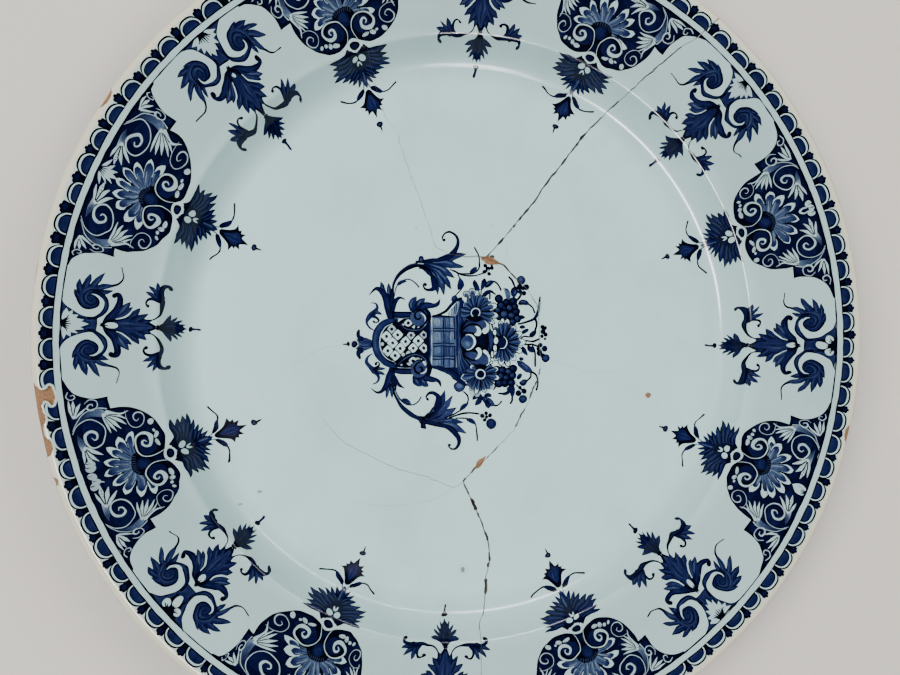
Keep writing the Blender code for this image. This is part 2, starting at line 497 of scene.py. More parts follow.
def nick(degrees: float, half: float, reach: float, depth: float,
         notch: float = 0.4) -> LipChip:
    """A small plain loss: an arch of the given half-length and reach.

    Args:
        degrees: where it is.
        half: half of its length along the lip.
        reach: how far it comes in.
        depth: how deep it is.
        notch: how far the lip's edge is bitten back.

    Returns:
        The loss.
    """
    return LipChip(degrees, ((-half, reach * 0.5), (-half * 0.55, reach * 0.95),
                             (half * 0.1, reach), (half * 0.7, reach * 0.8),
                             (half, reach * 0.35)), depth, notch)


@dataclass(frozen=True)
class FaceChip:
    """A shallow loss on the glazed face that bares the clay."""

    centre: Point
    half_length: float
    half_width: float
    depth: float
    degrees: float = 0.0
    rough: float = 0.1
    point: float = 0.0           # 0 rounds the ends, 1 draws them out

    def outline(self) -> Array:
        """An ellipse or a spindle whose radius wanders a little.

        Returns:
            Plan points, in order.
        """
        rng = np.random.default_rng(int(abs(self.centre[0] * 7 + self.centre[1])))
        t = np.linspace(0, 2 * math.pi, 22, endpoint=False)
        far = 1 + self.rough * np.convolve(rng.normal(size=24), np.ones(3) / 2, "valid")
        x = self.half_length * far * np.cos(t)
        y = self.half_width * far * np.sin(t) * np.abs(np.sin(t)) ** self.point
        return rotated(self.centre, x, y, self.degrees)


@dataclass(frozen=True)
class Damage:
    """Every loss of glaze and clay on the dish."""

    settling: float = 0.45       # distance in which a loss nears its full depth
    lip: tuple[LipChip, ...] = (
        nick(42.2, 3.4, 1.5, 0.9), nick(13.1, 3.7, 2.0, 1.0),
        LipChip(340.0, ((21.5, 1.8), (22.6, 2.6), (25, 3.7), (30.5, 4.1), (33.4, 3.2),
                        (35, 1.9), (39, 1.3)), 1.2, 0.5),
        nick(335.8, 5.4, 1.0, 0.5, 0.15), nick(146.85, 7.2, 3.2, 1.6, 0.7),
        nick(171.5, 9.0, 1.2, 0.5, 0.2),
        LipChip(190.0, ((-24, 0.4), (-20, 1.4), (-17.5, 2.4), (-14.6, 4.2), (-14.2, 6),
                        (-16.4, 7.6), (-16, 9), (-12.6, 10), (-9, 10.4), (-5, 9.6), (-3, 8),
                        (-5.6, 6.8), (-7, 5.2), (-5, 4.2), (-1, 3.8), (2, 4.6), (6, 4.4),
                        (9, 3.1), (14, 2.6), (17, 3.4), (20, 4.7), (25, 4.6), (28.6, 2.6)),
                1.5, 0.7),
        nick(199.35, 2.9, 2.9, 1.2, 0.6), nick(217.0, 3.5, 1.1, 0.5, 0.2),
        nick(322.0, 3.0, 1.0, 0.5, 0.2),
    )
    face: tuple[FaceChip, ...] = (
        FaceChip((21.4, 55.8), 7.2, 2.7, 1.0, -18.0, 0.12, 0.7),
        FaceChip((14.2, -91.4), 6.2, 2.3, 0.8, 50.0, 0.16, 0.6),
        FaceChip((139.9, -43.2), 2.2, 2.0, 0.8),
    )

    def outlines(self) -> list[tuple[Array, float]]:
        """Each loss as its outline in plan and its depth."""
        return [(chip.outline(), chip.depth) for chip in (*self.lip, *self.face)]

    def edge(self, theta: Array) -> Array:
        """Radius of the lip's outermost edge at each angle, before the stretch.

        Args:
            theta: angles in radians.

        Returns:
            One radius an angle.
        """
        bite = np.zeros_like(theta)
        for chip in self.lip:
            bite = np.maximum(bite, chip.bite(theta))
        return RIM * WITHIN - bite

    def lowered(self, points: Array) -> Array:
        """How far the glazed face is lowered at each point.

        A loss drops quickly behind its edge and levels out at its depth:
        depth x (1 - e to the minus distance from the edge).

        Args:
            points: plan points.

        Returns:
            One depth a point, 0 outside the losses.
        """
        low = np.zeros(len(points))
        for outline, depth in self.outlines():
            near = np.flatnonzero(
                ((points > outline.min(0)) & (points < outline.max(0))).all(1))
            near = near[inside(points[near], outline)]
            if len(near):
                far = distance_to(points[near], outline)
                low[near] = np.maximum(
                    low[near], depth * (1 - np.exp(-far / self.settling)))
        return low


@dataclass(frozen=True)
class Break:
    """One break that runs from where the fragments meet out to the lip."""

    route: tuple[Point, ...]
    widths: tuple[Point, ...]    # (distance from the meeting point, width of the gap)
    seed: int
    step: float = 1.7
    swing: float = 0.28          # how far the fracture strays from its route
    waves: tuple[Point, ...] = ((0.7, 6.5), (0.6, 2.4))  # share and length of each wave
    ease: float = 5.0            # distance in which the straying sets in

    def centreline(self) -> tuple[Array, Array]:
        """The jagged line of the break, and its width at each point.

        Points stand evenly along the route and stray square to it by two
        random waves, one slow and one quick. The ends stay on the route.

        Returns:
            Plan points from the meeting point outwards, and a width each.
        """
        knots = np.array([MEETING, *self.route], float)
        walked = np.concatenate(
            [[0], np.cumsum(np.linalg.norm(np.diff(knots, axis=0), axis=1))])
        at = np.arange(0.0, walked[-1], self.step)
        path = np.stack([np.interp(at, walked, knots[:, k]) for k in (0, 1)], axis=1)
        rng = np.random.default_rng(self.seed)
        stray = sum(share * wander(rng, walked[-1], length, at)
                    for share, length in self.waves)
        rise = np.clip(at / self.ease, 0, 1)
        path = path + across(path) * (self.swing * stray * rise)[:, None]
        table = np.array(self.widths)
        return path, np.interp(at, table[:, 0], table[:, 1])


@dataclass(frozen=True)
class Breakage:
    """The three breaks, and the outline in plan of each fragment between them."""

    upper_right: Break = Break(
        route=((30, 71), (41, 84.5), (53, 98.5), (62, 112), (75, 128.5), (91, 149.5),
               (107, 166), (118, 175), (135, 190), (152, 203.5), (159, 207), (174, 219.5),
               (200, 240)),
        widths=((0, 0.5), (20, 0.42), (60, 0.62), (125, 0.5), (160, 0.3), (260, 0.34)),
        seed=11)
    lower: Break = Break(
        route=((31, 53), (37, 46), (42, 42), (50, 34), (56, 24), (58, 8), (58, -8),
               (59, -16), (57, -29), (52, -40), (48, -50), (41, -63), (39, -68),
               (31, -76), (19, -88), (10, -96), (1, -105), (8, -119), (15, -135),
               (19, -147), (21, -163), (18, -175), (18, -183), (16, -199), (12, -205),
               (11, -232), (13, -258), (12, -310)),
        widths=((0, 0.5), (20, 0.34), (60, 0.2), (140, 0.26), (180, 0.3), (200, 0.5),
                (290, 0.5), (310, 0.3), (420, 0.32)),
        seed=12)
    tight: Break = Break(
        route=((12, 59), (3, 59), (-9, 61), (-19, 66), (-23, 79), (-30, 100),
               (-36, 115), (-44, 138), (-46, 148), (-54, 157), (-61, 178), (-66, 196),
               (-73, 217), (-79, 236), (-86, 257), (-99, 296)),
        widths=((0, 0.3), (20, 0.22), (60, 0.12), (300, 0.12)),
        seed=13)

    def fragments(self, edge: Callable[[Array], Array]) -> dict[str, Array]:
        """Outline of each fragment, anticlockwise, closed along the lip.

        Args:
            edge: gives the radius of the lip's edge at each angle.

        Returns:
            Fragment name to plan points.
        """
        lines = {name: getattr(self, name).centreline()
                 for name in ("upper_right", "lower", "tight")}
        pairs = {
            "right_fragment": ("lower", "upper_right"),
            "top_fragment": ("upper_right", "tight"),
            "left_fragment": ("tight", "lower"),
        }
        return {name: self.between(lines[leave], lines[back], edge)
                for name, (leave, back) in pairs.items()}

    @staticmethod
    def between(leave: tuple[Array, Array], back: tuple[Array, Array],
                edge: Callable[[Array], Array]) -> Array:
        """Outline of the ware between two breaks.

        Each break's line is set back by half of its width along the mean of the
        directions square to its two sides, and cut where it crosses the lip.

        Args:
            leave: break followed outwards, with the fragment on its left.
            back: break followed back to the meeting point.
            edge: gives the radius of the lip's edge at each angle.

        Returns:
            Plan points, anticlockwise.
        """
        line = np.vstack([back[0][::-1], leave[0][1:]])
        half = np.concatenate([back[1][::-1], leave[1][1:]]) / 2
        square = across(line)
        before = np.vstack([line[:1], line[:-1]]) - line
        after = np.vstack([line[1:], line[-1:]]) - line
        cosine = np.abs((before * after).sum(1)) / np.maximum(
            np.linalg.norm(before, axis=1) * np.linalg.norm(after, axis=1), 1e-9)
        cosine[[0, -1]] = 1.0
        line = line + square * (half / np.sqrt(np.clip((1 + cosine) / 2, 0.4, 1)))[:, None]
        theta = np.arctan2(line[:, 1], line[:, 0])
        over = round_radius(line) / edge(theta)
        within = np.flatnonzero(over < 1)
        first, last = within[0], within[-1]

        def crossing(out: int, home: int) -> Array:
            """Where the line between two of its points crosses the lip."""
            share = (1 - over[home]) / (over[out] - over[home])
            return line[home] + (line[out] - line[home]) * share

        enter, leave_at = crossing(first - 1, first), crossing(last + 1, last)
        start = math.atan2(leave_at[1], leave_at[0])
        sweep = (math.atan2(enter[1], enter[0]) - start) % (2 * math.pi)
        grid = np.arange(0, 2 * math.pi, 2 * math.pi / LIP_POINTS)
        gone = (grid - start) % (2 * math.pi)
        gap = 0.4 * 2 * math.pi / LIP_POINTS       # points nearer a break are left out
        grid = grid[(gone > gap) & (gone < sweep - gap)]
        grid = grid[np.argsort((grid - start) % (2 * math.pi))]
        arc = polar(edge(grid), grid)
        return np.vstack([enter[None], line[first:last + 1], leave_at[None], arc])


# ---------------------------------------------------------------- brush
class Tone(Enum):
    """Strength of the cobalt under the glaze, from bare white to ink."""

    WHITE = 0.0
    PALE = 0.16
    SKY = 0.34
    WASH = 0.48
    BLUE = 0.64
    DEEP = 0.76
    COBALT = 0.86
    INK = 1.0


class Kind(Enum):
    """What a stroke lays down, by its place in the paint attribute."""

    COBALT = 0
    # stains, hairlines and dirt, and the painted shade of the breaks
    STAIN_AND_SHADE = 1
    CREAM = 2


@dataclass(frozen=True)
class Stroke:
    """One closed outline of paint, in plan."""

    outline: Array
    root: float
    tip: float
    axis: Array                  # two points: where root and tip strengths hold
    kind: Kind = Kind.COBALT


@dataclass
class Brush:
    """Lays strokes through the frame of a motif, in the order of painting."""

    lay: Lay
    seed: int = 1
    step: float = 0.9
    strokes: list[Stroke] = field(default_factory=list)
    ink_edge: float = 0.62       # a wide ink line shows blue this far from its edges

    def __post_init__(self) -> None:
        """Seed the brush's own unsteadiness."""
        self.rng = np.random.default_rng(self.seed)

    def turned(self, change: Lay) -> Brush:
        """The same brush working through one more change of frame."""
        outer = self.lay
        return Brush(lambda p: outer(change(p)), self.seed + 1, self.step, self.strokes)

    def mirrored(self, side: int) -> Brush:
        """The same brush on the right (1) or on the left (-1) of the axis."""
        return self.turned(lambda p: p * np.array([side, 1.0]))

    def halves(self) -> tuple[Brush, Brush]:
        """The same brush on the left and on the right of the axis."""
        return self.mirrored(-1), self.mirrored(1)

    def put(self, outline: Array, root: Tone | float, tip: Tone | float | None = None,
            axis: Array | None = None, kind: Kind = Kind.COBALT) -> None:
        """Lay one closed outline.

        Args:
            outline: corners in the motif's frame.
            root: strength, or where axis is given, strength at its first point.
            tip: strength at the axis's second point.
            axis: two points in the motif's frame.
            kind: what is laid down.
        """
        low = root.value if isinstance(root, Tone) else float(root)
        high = low if tip is None else tip.value if isinstance(tip, Tone) else float(tip)
        ends = outline[[0, len(outline) // 2]] if axis is None else np.asarray(axis, float)
        self.strokes.append(
            Stroke(thinned(self.lay(outline)), low, high, self.lay(ends), kind))

    def ribbon(self, spine: Array, half: Array, root: Tone | float,
               tip: Tone | float | None = None, kind: Kind = Kind.COBALT) -> None:
        """Lay a stroke of changing width along a sampled spine.

        Args:
            spine: points along the middle.
            half: half-width at each of them.
            root: strength at the start.
            tip: strength at the end.
            kind: what is laid down.
        """
        reach = np.linalg.norm(np.diff(spine, axis=0), axis=1).sum()
        at = np.linspace(0, reach, len(spine))
        half = half * (1 + 0.07 * wander(self.rng, reach, 3.0, at))
        side = across(spine) * np.maximum(half, 0.03)[:, None]
        ends = [spine[k] + (spine[k] - spine[j]) / max(
            float(np.linalg.norm(spine[k] - spine[j])), 1e-6) * half[k] * 0.8
            for k, j in ((-1, -2), (0, 1))]
        outline = np.vstack([spine + side, ends[0][None], (spine - side)[::-1], ends[1][None]])
        self.put(outline, root, tip, spine[[0, -1]], kind)

    def line(self, points: Points, widths: Sequence[float] | float,
             tone: Tone | float = Tone.INK, tip: Tone | float | None = None) -> None:
        """A line through the points, with half-widths spread along its length.

        Args:
            points: where the line passes.
            widths: half-widths along it.
            tone: strength at the start.
            tip: strength at the end.
        """
        spine = curve(points, self.step)
        half = spread(widths, len(spine))
        self.ribbon(spine, half, tone, tip)
        body = half - self.ink_edge
        keep = body > 0.35
        if tone is Tone.INK and tip is None and keep.sum() > 3:
            first, last = np.flatnonzero(keep)[[0, -1]]
            self.ribbon(spine[first:last + 1], np.maximum(body[first:last + 1], 0.1), 0.86)

    def leaf(self, points: Points, width: float, tone: Tone | float = Tone.BLUE,
             edge: float = 0.42, root: float = 0.45, vein: Tone | None = Tone.WASH) -> None:
        """One stroke of leaf: an ink edge, a lighter body and a vein.

        The half-width swells from the root to just before the middle and runs
        out to a point. The body is the same stroke, narrower and shorter.

        Args:
            points: from the root to the tip.
            width: greatest half-width.
            tone: strength of the body.
            edge: width of the ink edge.
            root: share of the half-width at the root.
            vein: strength of the streak along the middle, if there is one.
        """
        spine = curve(points, self.step)
        share = np.linspace(0, 1, len(spine))
        swell = np.interp(share, (0, 0.18, 0.45, 0.7, 0.88, 1),
                          (root, 0.86, 1, 0.85, 0.46, 0.05))
        self.ribbon(spine, swell * width, Tone.INK)
        body = (share > 0.04) & (share < 0.93)
        half = swell * width - edge
        keep = body & (half > 0.12)
        if keep.sum() > 3:
            value = tone.value if isinstance(tone, Tone) else tone
            self.ribbon(spine[keep], half[keep], min(1.0, value + 0.12), value - 0.05)
        streak = (share > 0.22) & (share < 0.7) & (half > 0.55)
        if vein is not None and streak.sum() > 3:
            shift = across(spine)[streak] * (half[streak] * 0.3)[:, None]
            self.ribbon(spine[streak] + shift, half[streak] * 0.26, vein)

    def disc(self, centre: Point, size: float | Point, tone: Tone | float = Tone.INK,
             turn: float = 0.0, tip: Tone | float | None = None,
             kind: Kind = Kind.COBALT) -> None:
        """A filled ellipse, with its long side turned by turn degrees.

        Args:
            centre: its middle.
            size: radius, or the two half-axes.
            tone: strength.
            turn: turn of the first half-axis, in degrees.
            tip: strength at the far side, if it changes.
            kind: what is laid down.
        """
        wide, tall = (size, size) if isinstance(size, (int, float)) else size
        count = max(8, int(2 * math.pi * max(wide, tall) / 0.85))
        t = np.linspace(0, 2 * math.pi, count, endpoint=False)
        self.put(rotated(centre, wide * np.cos(t), tall * np.sin(t), turn), tone, tip,
                 kind=kind)

    def ring(self, centre: Point, size: float | Point, width: Sequence[float] | float,
             tone: Tone | float = Tone.WHITE, start: float = 0.0,
             sweep: float = 360.0) -> None:
        """Part of an elliptical line round a centre, from start by sweep degrees.

        Args:
            centre: its middle.
            size: radius, or the two half-axes.
            width: half-widths along it.
            tone: strength.
            start: angle of its start, in degrees.
            sweep: how far it goes round, in degrees.
        """
        wide, tall = (size, size) if isinstance(size, (int, float)) else size
        count = max(5, int(abs(sweep) / 360 * 2 * math.pi * max(wide, tall) / 0.8))
        t = np.radians(start + sweep * np.linspace(0, 1, count))
        spine = np.stack([centre[0] + wide * np.cos(t), centre[1] + tall * np.sin(t)], axis=1)
        self.ribbon(spine, spread(width, count), tone)

    def patch(self, points: Points, tone: Tone | float, tip: Tone | float | None = None,
              axis: Points | None = None, smooth: bool = True,
              kind: Kind = Kind.COBALT) -> None:
        """A filled shape whose outline passes through the points.

        Args:
            points: corners, in order.
            tone: strength, or strength at the first point of axis.
            tip: strength at the second point of axis.
            axis: two points.
            smooth: round the outline, else join the corners straight.
            kind: what is laid down.
        """
        shape = np.asarray(points, float)
        if smooth:
            looped = np.vstack([shape[-2:], shape, shape[:2]])
            sampled = curve(looped, self.step)
            spans = np.linalg.norm(np.diff(looped, axis=0), axis=1)
            counts = np.maximum(1, np.ceil(spans / self.step).astype(int))
            shape = sampled[counts[:2].sum():len(sampled) - 1 - counts[-1:].sum()]
        self.put(shape, tone, tip, None if axis is None else np.asarray(axis, float), kind)


def both(half: Points) -> list[Point]:
    """A whole outline from its right half, which starts and ends on the axis."""
    return [*half, *[(-s, d) for s, d in reversed(half)]]


def bent(degrees: float) -> Lay:
    """Frame of the border at one angle: length along the band, and depth inwards."""
    return lambda p: polar(BAND - p[:, 1], math.radians(degrees) + p[:, 0] / BAND)


def unsteady(seed: int, amount: float = 0.4) -> Lay:
    """A slow wander of the hand: sums of sine waves move each point a little.

    Args:
        seed: fixes the waves.
        amount: how far a point moves, about.

    Returns:
        The frame that the wander makes.
    """
    rng = np.random.default_rng(seed)
    waves = rng.uniform(0.18, 0.55, size=(4, 2)) * rng.choice([-1, 1], size=(4, 2))
    phases = rng.uniform(0, 2 * math.pi, size=(4, 2))

    def shift(points: Array) -> Array:
        """Move each point by the sum of the waves at its place.

        Args:
            points: plan points.

        Returns:
            The points, moved.
        """
        turn = points @ waves.T
        moved = np.stack([np.sin(turn + phases[:, k]).sum(axis=1) for k in (0, 1)], axis=1)
        return points + amount / 2 * moved

    return shift


# ---------------------------------------------------------------- border
@dataclass(frozen=True)
class ScallopBorder:
    """The reserved ring line, and the row of blue scallops outside it."""

    ring_inner: float = -1.9
    ring_outer: float = -5.9
    scallop_room: float = 12.6   # length of the band that one scallop takes up
    spacing: tuple[Point, ...] = (   # number of a scallop, and its angle in degrees
        (0, -1.6), (5, 18.0), (15, 57.0), (33, 128.0), (40, 155.7), (46, 181.7),
        (51, 202.4), (58, 229.5), (77, 302.0), (84, 328.9), (87, 340.0), (92, 358.4))

    def paint(self, brush: Brush) -> None:
        """Lay each scallop and its bud, then the dark edges of the ring line.

        Args:
            brush: lays the strokes, in the frame of the band.
        """
        rng = np.random.default_rng(31)
        table = np.array(self.spacing)
        degrees = np.interp(np.arange(93), table[:, 0], table[:, 1])
        places = np.radians(degrees) * BAND
        for at, following in zip(places, places[1:]):
            at = at + 0.25 * rng.normal()
            self.bud(brush, (at + following) / 2, following - at - self.scallop_room,
                     1 + 0.05 * rng.normal())
        for at in places[:-1]:
            self.scallop(brush, at + 0.25 * rng.normal(), 0.25 * rng.normal(),
                         0.3 * rng.normal(), 0.3 * rng.normal())
        theta = np.linspace(0, 2 * math.pi, 721)
        for depth, thick, seed in ((self.ring_inner, 0.4, 5), (self.ring_outer, 0.28, 6)):
            knots = np.random.default_rng(seed).normal(size=400)
            half = thick + 0.12 * np.interp(theta, np.linspace(0, 6.3, 400), knots)
            for first in range(0, 720, 30):
                piece = theta[first:first + 31]
                width = np.maximum(half[first:first + 31], 0.1)
                brush.put(np.vstack([
                    np.stack([piece * BAND, depth - width], axis=1),
                    np.stack([piece * BAND, depth + width], axis=1)[::-1]]), Tone.INK)

    def scallop(self, brush: Brush, at: float, wider: float, taller: float,
                lean: float) -> None:
        """One half-round scallop: ink edge, white arc and blue filling.

        Args:
            brush: lays the strokes, in the frame of the band.
            at: place along the band.
            wider: added to half its width.
            taller: added to its height.
            lean: how far its top stands aside.
        """
        base = self.ring_outer - 0.1
        for wide, tall, tone, tip, count in (
                (7.5, 6.7, Tone.INK, Tone.INK, 17), (6.95, 5.85, Tone.WHITE, Tone.WHITE, 17),
                (6.2, 5.0, Tone.INK, 0.92, 15), (5.0, 4.1, 0.68, 0.8, 9)):
            t = np.linspace(0, math.pi, count)
            round_side = np.abs(np.cos(t)) ** 0.8 * np.sign(np.cos(t))
            s = at + (wide + wider) * round_side + lean * np.sin(t)
            low = 0.5 if count == 9 else 0.0
            d = base - low - (tall + taller) * np.sin(t) ** 0.75
            brush.put(np.stack([s, d], axis=1), tone, tip,
                      np.array([[at, base], [at, base - tall]]))

    def bud(self, brush: Brush, at: float, wide: float, tall: float) -> None:
        """The dark bud between two scallops, with three lobes at its top.

        Args:
            brush: lays the strokes, in the frame of the band.
            at: place along the band.
            wide: room between the scallops.
            tall: its height, as a share of the usual one.
        """
        base = self.ring_outer - 0.1
        grow = max(wide, 3.4) / 5.2
        half = [(0, -6.9), (0.9, -6.7), (1.1, -6.1), (2.2, -6.1), (2.9, -5.4), (2.6, -4.4),
                (2.3, -3), (2.6, 0)]
        shape = [(s * grow, d * tall) for s, d in half]
        brush.patch([(at + s, base + d) for s, d in both(shape)], Tone.INK, smooth=False)
        brush.patch([(at + s * 0.55, base - 1.4 + d * 0.62) for s, d in both(shape[:-1])],
                    Tone.COBALT, smooth=False)


@dataclass(frozen=True)
class Place:
    """Where one copy of a border motif stands, and how it was stretched."""

    degrees: float
    axis: float                  # shift of the motif's axis along the band
    left: float                  # place of the left edge
    right: float
    depth: float                 # depth of the bead, or of the ball of a foliate
    ball: float                  # shift of the lowest ball
    ball_depth: float
    eye: float = 0.0             # shift of the daisy, or size of a foliate's drop
    petals: int = 9              # petals of the daisy
    flower: int = 0              # which flower stands at the top


@dataclass(frozen=True)
class Cartouche:
    """The large dark lappet with a daisy between spirals, and its pendant."""

    half: float = 40.0
    bead: float = 47.6
    foot: float = 95.6
    eye_depth: float = 30.0

    def frame(self, place: Place, seed: int) -> Lay:
        """Frame of one copy: stretched to its edges, leaning to its ball.

        Args:
            place: where the copy stands.
            seed: of the hand's wander.

        Returns:
            The frame, from the design to the plan.
        """
        hand, band = unsteady(seed, 0.3), bent(place.degrees)
        grow = np.array([(place.axis - place.left) / self.half,
                         (place.right - place.axis) / self.half])

        def lay(points: Array) -> Array:
            """Stretch and lean the design, then lay it on the band.

            Args:
                points: points of the design.

            Returns:
                Plan points.
            """
            s, d = hand(points).T
            below = np.clip((d - self.bead) / (self.foot - self.bead), 0, 2)
            scale = np.where(s < 0, grow[0], grow[1])
            near = np.clip((np.abs(s) - 10) / (self.half - 10), 0, 1)
            wide = s * (1 + (scale - 1) * np.where(below > 0, 0.3, near))
            beyond = np.clip((np.abs(s) - self.half) / 22, 0, 1)
            wide = wide + (s - wide) * beyond
            lean = np.interp(d, (0, self.eye_depth, self.bead), (0, place.eye, place.axis))
            lean = lean * (1 - near * 0.8) * (1 - beyond) + place.axis * near * 0.8
            lean = lean + (place.ball - place.axis) * below
            deep = np.where(d < self.bead, d * place.depth / self.bead,
                            place.depth + (d - self.bead) * (place.ball_depth - place.depth)
                            / (self.foot - self.bead))
            deep = np.where(d < 0, d, deep)
            return band(np.stack([wide + lean * (1 - beyond), deep], axis=1))

        return lay

    def paint(self, brush: Brush, place: Place) -> None:
        """Lay the whole cartouche of one place.

        Args:
            brush: lays the strokes, in the motif's frame.
            place: where the copy stands, and what varies in it.
        """
        fine = replace(brush, step=0.6)
        self.ground(brush)
        for half in fine.halves():
            self.upper_half(half)
        self.daisy(fine, place.petals)
        self.flower(fine, place.flower)
        for side in (-1, 1):
            self.lower_half(fine.mirrored(side), side)
        self.pendant(brush)

    @staticmethod
    def ground(brush: Brush) -> None:
        """The dark ground: an ink outline and mottled cobalt inside it.

        Args:
            brush: lays the strokes, in the motif's frame.
        """
        brush.patch(both([
            (0, -1.9), (66, -1.9), (66, -1.9), (66, -1.1), (66, -1.1), (60, 0.5), (55, 3.4),
            (51, 8.2), (48.6, 14.5), (48.8, 22), (48.8, 22), (40.2, 21.4), (40.2, 21.4),
            (40.3, 27), (38.8, 33), (36, 38), (32.2, 42), (27, 45.4), (21, 47.6), (14, 48),
            (8, 46.8), (4, 44.8), (0, 44)]), Tone.INK)
        brush.patch(both([
            (0, -0.6), (57, -0.6), (53.4, 2.4), (49.4, 7.4), (47, 14.2), (47.2, 20.4),
            (47.2, 20.4), (38.9, 19.9), (38.9, 19.9), (38.8, 26.6), (37.4, 32.3),
            (34.6, 37), (31, 40.8), (26.2, 44), (20.6, 46), (14, 46.3), (8.6, 45.2),
            (4.6, 43.4), (0, 42.6)]), 0.91)
        for x, y, wide, tall in ((30, 9, 6, 5), (-30, 10, 6.5, 5), (13, 37, 7, 5),
                                 (-13, 38, 7, 5), (8, 10, 4, 3), (-9, 7, 5, 3),
                                 (-24, 29, 4, 2), (28, 26, 3.4, 2), (44, 16, 2.4, 3),
                                 (-44, 17, 2.6, 2.6), (30, 41, 3, 1.6), (-21, 40, 3, 1.6)):
            brush.disc((x, y), (wide, tall), 0.84)

    @staticmethod
    def spray(half: Brush, root: Point, fingers: Sequence[tuple[Point, Point, float]],
              gaps: float = 0.22) -> None:
        """White fingers from one root, each parted from the next by an ink line.

        Args:
            half: brush of one side, which counts away from the axis.
            root: where the fingers start.
            fingers: tip, bend and half-width of each, in order.
            gaps: half-width of the ink between them.
        """
        for tip, bend, wide in fingers:
            half.line([root, bend, tip], (0.6, wide * 1.5, wide * 1.25, 0.12), 0.04)
        for (tip, bend, _), (after, other, _) in zip(fingers, fingers[1:]):
            way = np.array([np.add(tip, after) / 2, np.add(bend, other) / 2])
            start = np.array(root) + 0.25 * (way[1] - np.array(root))
            half.line([tuple(start), tuple(way[1]), tuple(way[1] + 0.5 * (way[0] - way[1]))],
                      (gaps, gaps * 1.3, gaps))

    @classmethod
    def upper_half(cls, half: Brush) -> None:
        """Plume, sprays and spirals of the upper right quarter.

        Args:
            half: brush of one side, which counts away from the axis.
        """
        rng = half.rng
        for k in range(9):             # hatching of the plume, grey on dark
            share = k / 8
            half.line([(33.9 + 3.5 * share, 3.2 - 1.4 * share),
                       (37.2 + 2.8 * share, 9.6 - 1.6 * share),
                       (36.6 + 4.2 * share, 16.4 - 0.8 * share),
                       (35.2 + 2.7 * share, 20.2 - share)],
                      (0.05, 0.1, 0.18, 0.28), 0.5 + 0.24 * float(rng.random()), 0.26)
        half.line([(31, -0.6), (37.4, 3.6), (40.7, 9.4), (41.7, 15), (40.2, 19.4)],
                  (0.16, 0.22, 0.25, 0.25, 0.4), 0.1)
        cls.spray(half, (37.6, 17.4), (
            ((25.4, 19.2), (31, 18.2), 0.55), ((25.8, 22.4), (31.4, 20.2), 0.72),
            ((27.2, 25.4), (32.6, 22), 0.76), ((29.2, 28.6), (33.8, 23.8), 0.7),
            ((31.8, 29.4), (35.2, 24.6), 0.42)))
        half.line([(38.6, 19), (36.4, 23.8), (35.6, 27.4), (37, 31.6)],
                  (0.9, 0.7, 0.5, 0.12), 0.04)
        half.line([(36.9, 20.2), (35.4, 25)], (0.2, 0.25))
        half.line([(29.4, -1), (34.2, 2.6), (36, 7.4), (34.8, 12.2), (30.8, 15.8),
                   (25.6, 16.4), (21, 14.2), (18.5, 10.2), (19.6, 6.5), (23.4, 4.6),
                   (27.2, 5.5), (29.2, 8.7), (27.6, 11.6), (24.9, 11.8), (23.8, 9.8),
                   (25.4, 8.6)],
                  (0.15, 0.22, 0.24, 0.24, 0.25, 0.26, 0.28, 0.32, 0.36, 0.4, 0.5, 0.64, 0.74,
                   0.66, 0.45, 0.2), 0.06)
        for k in range(5):             # the root of the inner spray, hatched
            half.line([(28.6 - k * 0.8, 1.6 + k * 0.35), (23.4, 0.9 + k * 0.7),
                       (17.4, 2.2 + k * 0.5)], (0.08, 0.22, 0.4),
                      0.44 + 0.14 * float(rng.random()), 0.12)
        cls.spray(half, (20.4, 3.4), (
            ((10, 0.8), (14.4, 1.7), 0.6), ((6.8, 4.6), (13, 3.9), 1.0),
            ((9.4, 8.8), (14.2, 5.9), 0.85), ((13, 12), (16.6, 7.6), 0.7)), 0.3)
        for s in (9.8, 11.6, 13.4):
            half.line([(s, 4.0), (s + 0.8, 4.7)], 0.2)
        cls.spray(half, (38.8, 1.2), (
            ((50.2, 0.2), (44, 0.2), 0.5), ((49.6, 2.8), (44.4, 2), 0.8),
            ((47, 6.2), (43, 3.8), 0.65)), 0.24)
        half.line([(38.6, 2.2), (41, 6.2), (43.6, 9.2)], (0.4, 0.7, 0.15), 0.06)
        half.line([(46.6, 8.2), (48.5, 11.2), (46.8, 14.8), (43, 15), (40.9, 12.2),
                   (42.6, 9.6), (45, 10.2), (45.2, 12.2), (43.8, 12.6)],
                  (0.16, 0.24, 0.27, 0.28, 0.32, 0.46, 0.56, 0.4, 0.2), 0.08)
        half.line([(56.4, 0.4), (53.2, -0.6), (50.6, 1.4), (51.4, 4), (53.6, 3.6),
                   (53.6, 1.9)], (0.25, 0.32, 0.35, 0.4, 0.3, 0.2), 0.1)

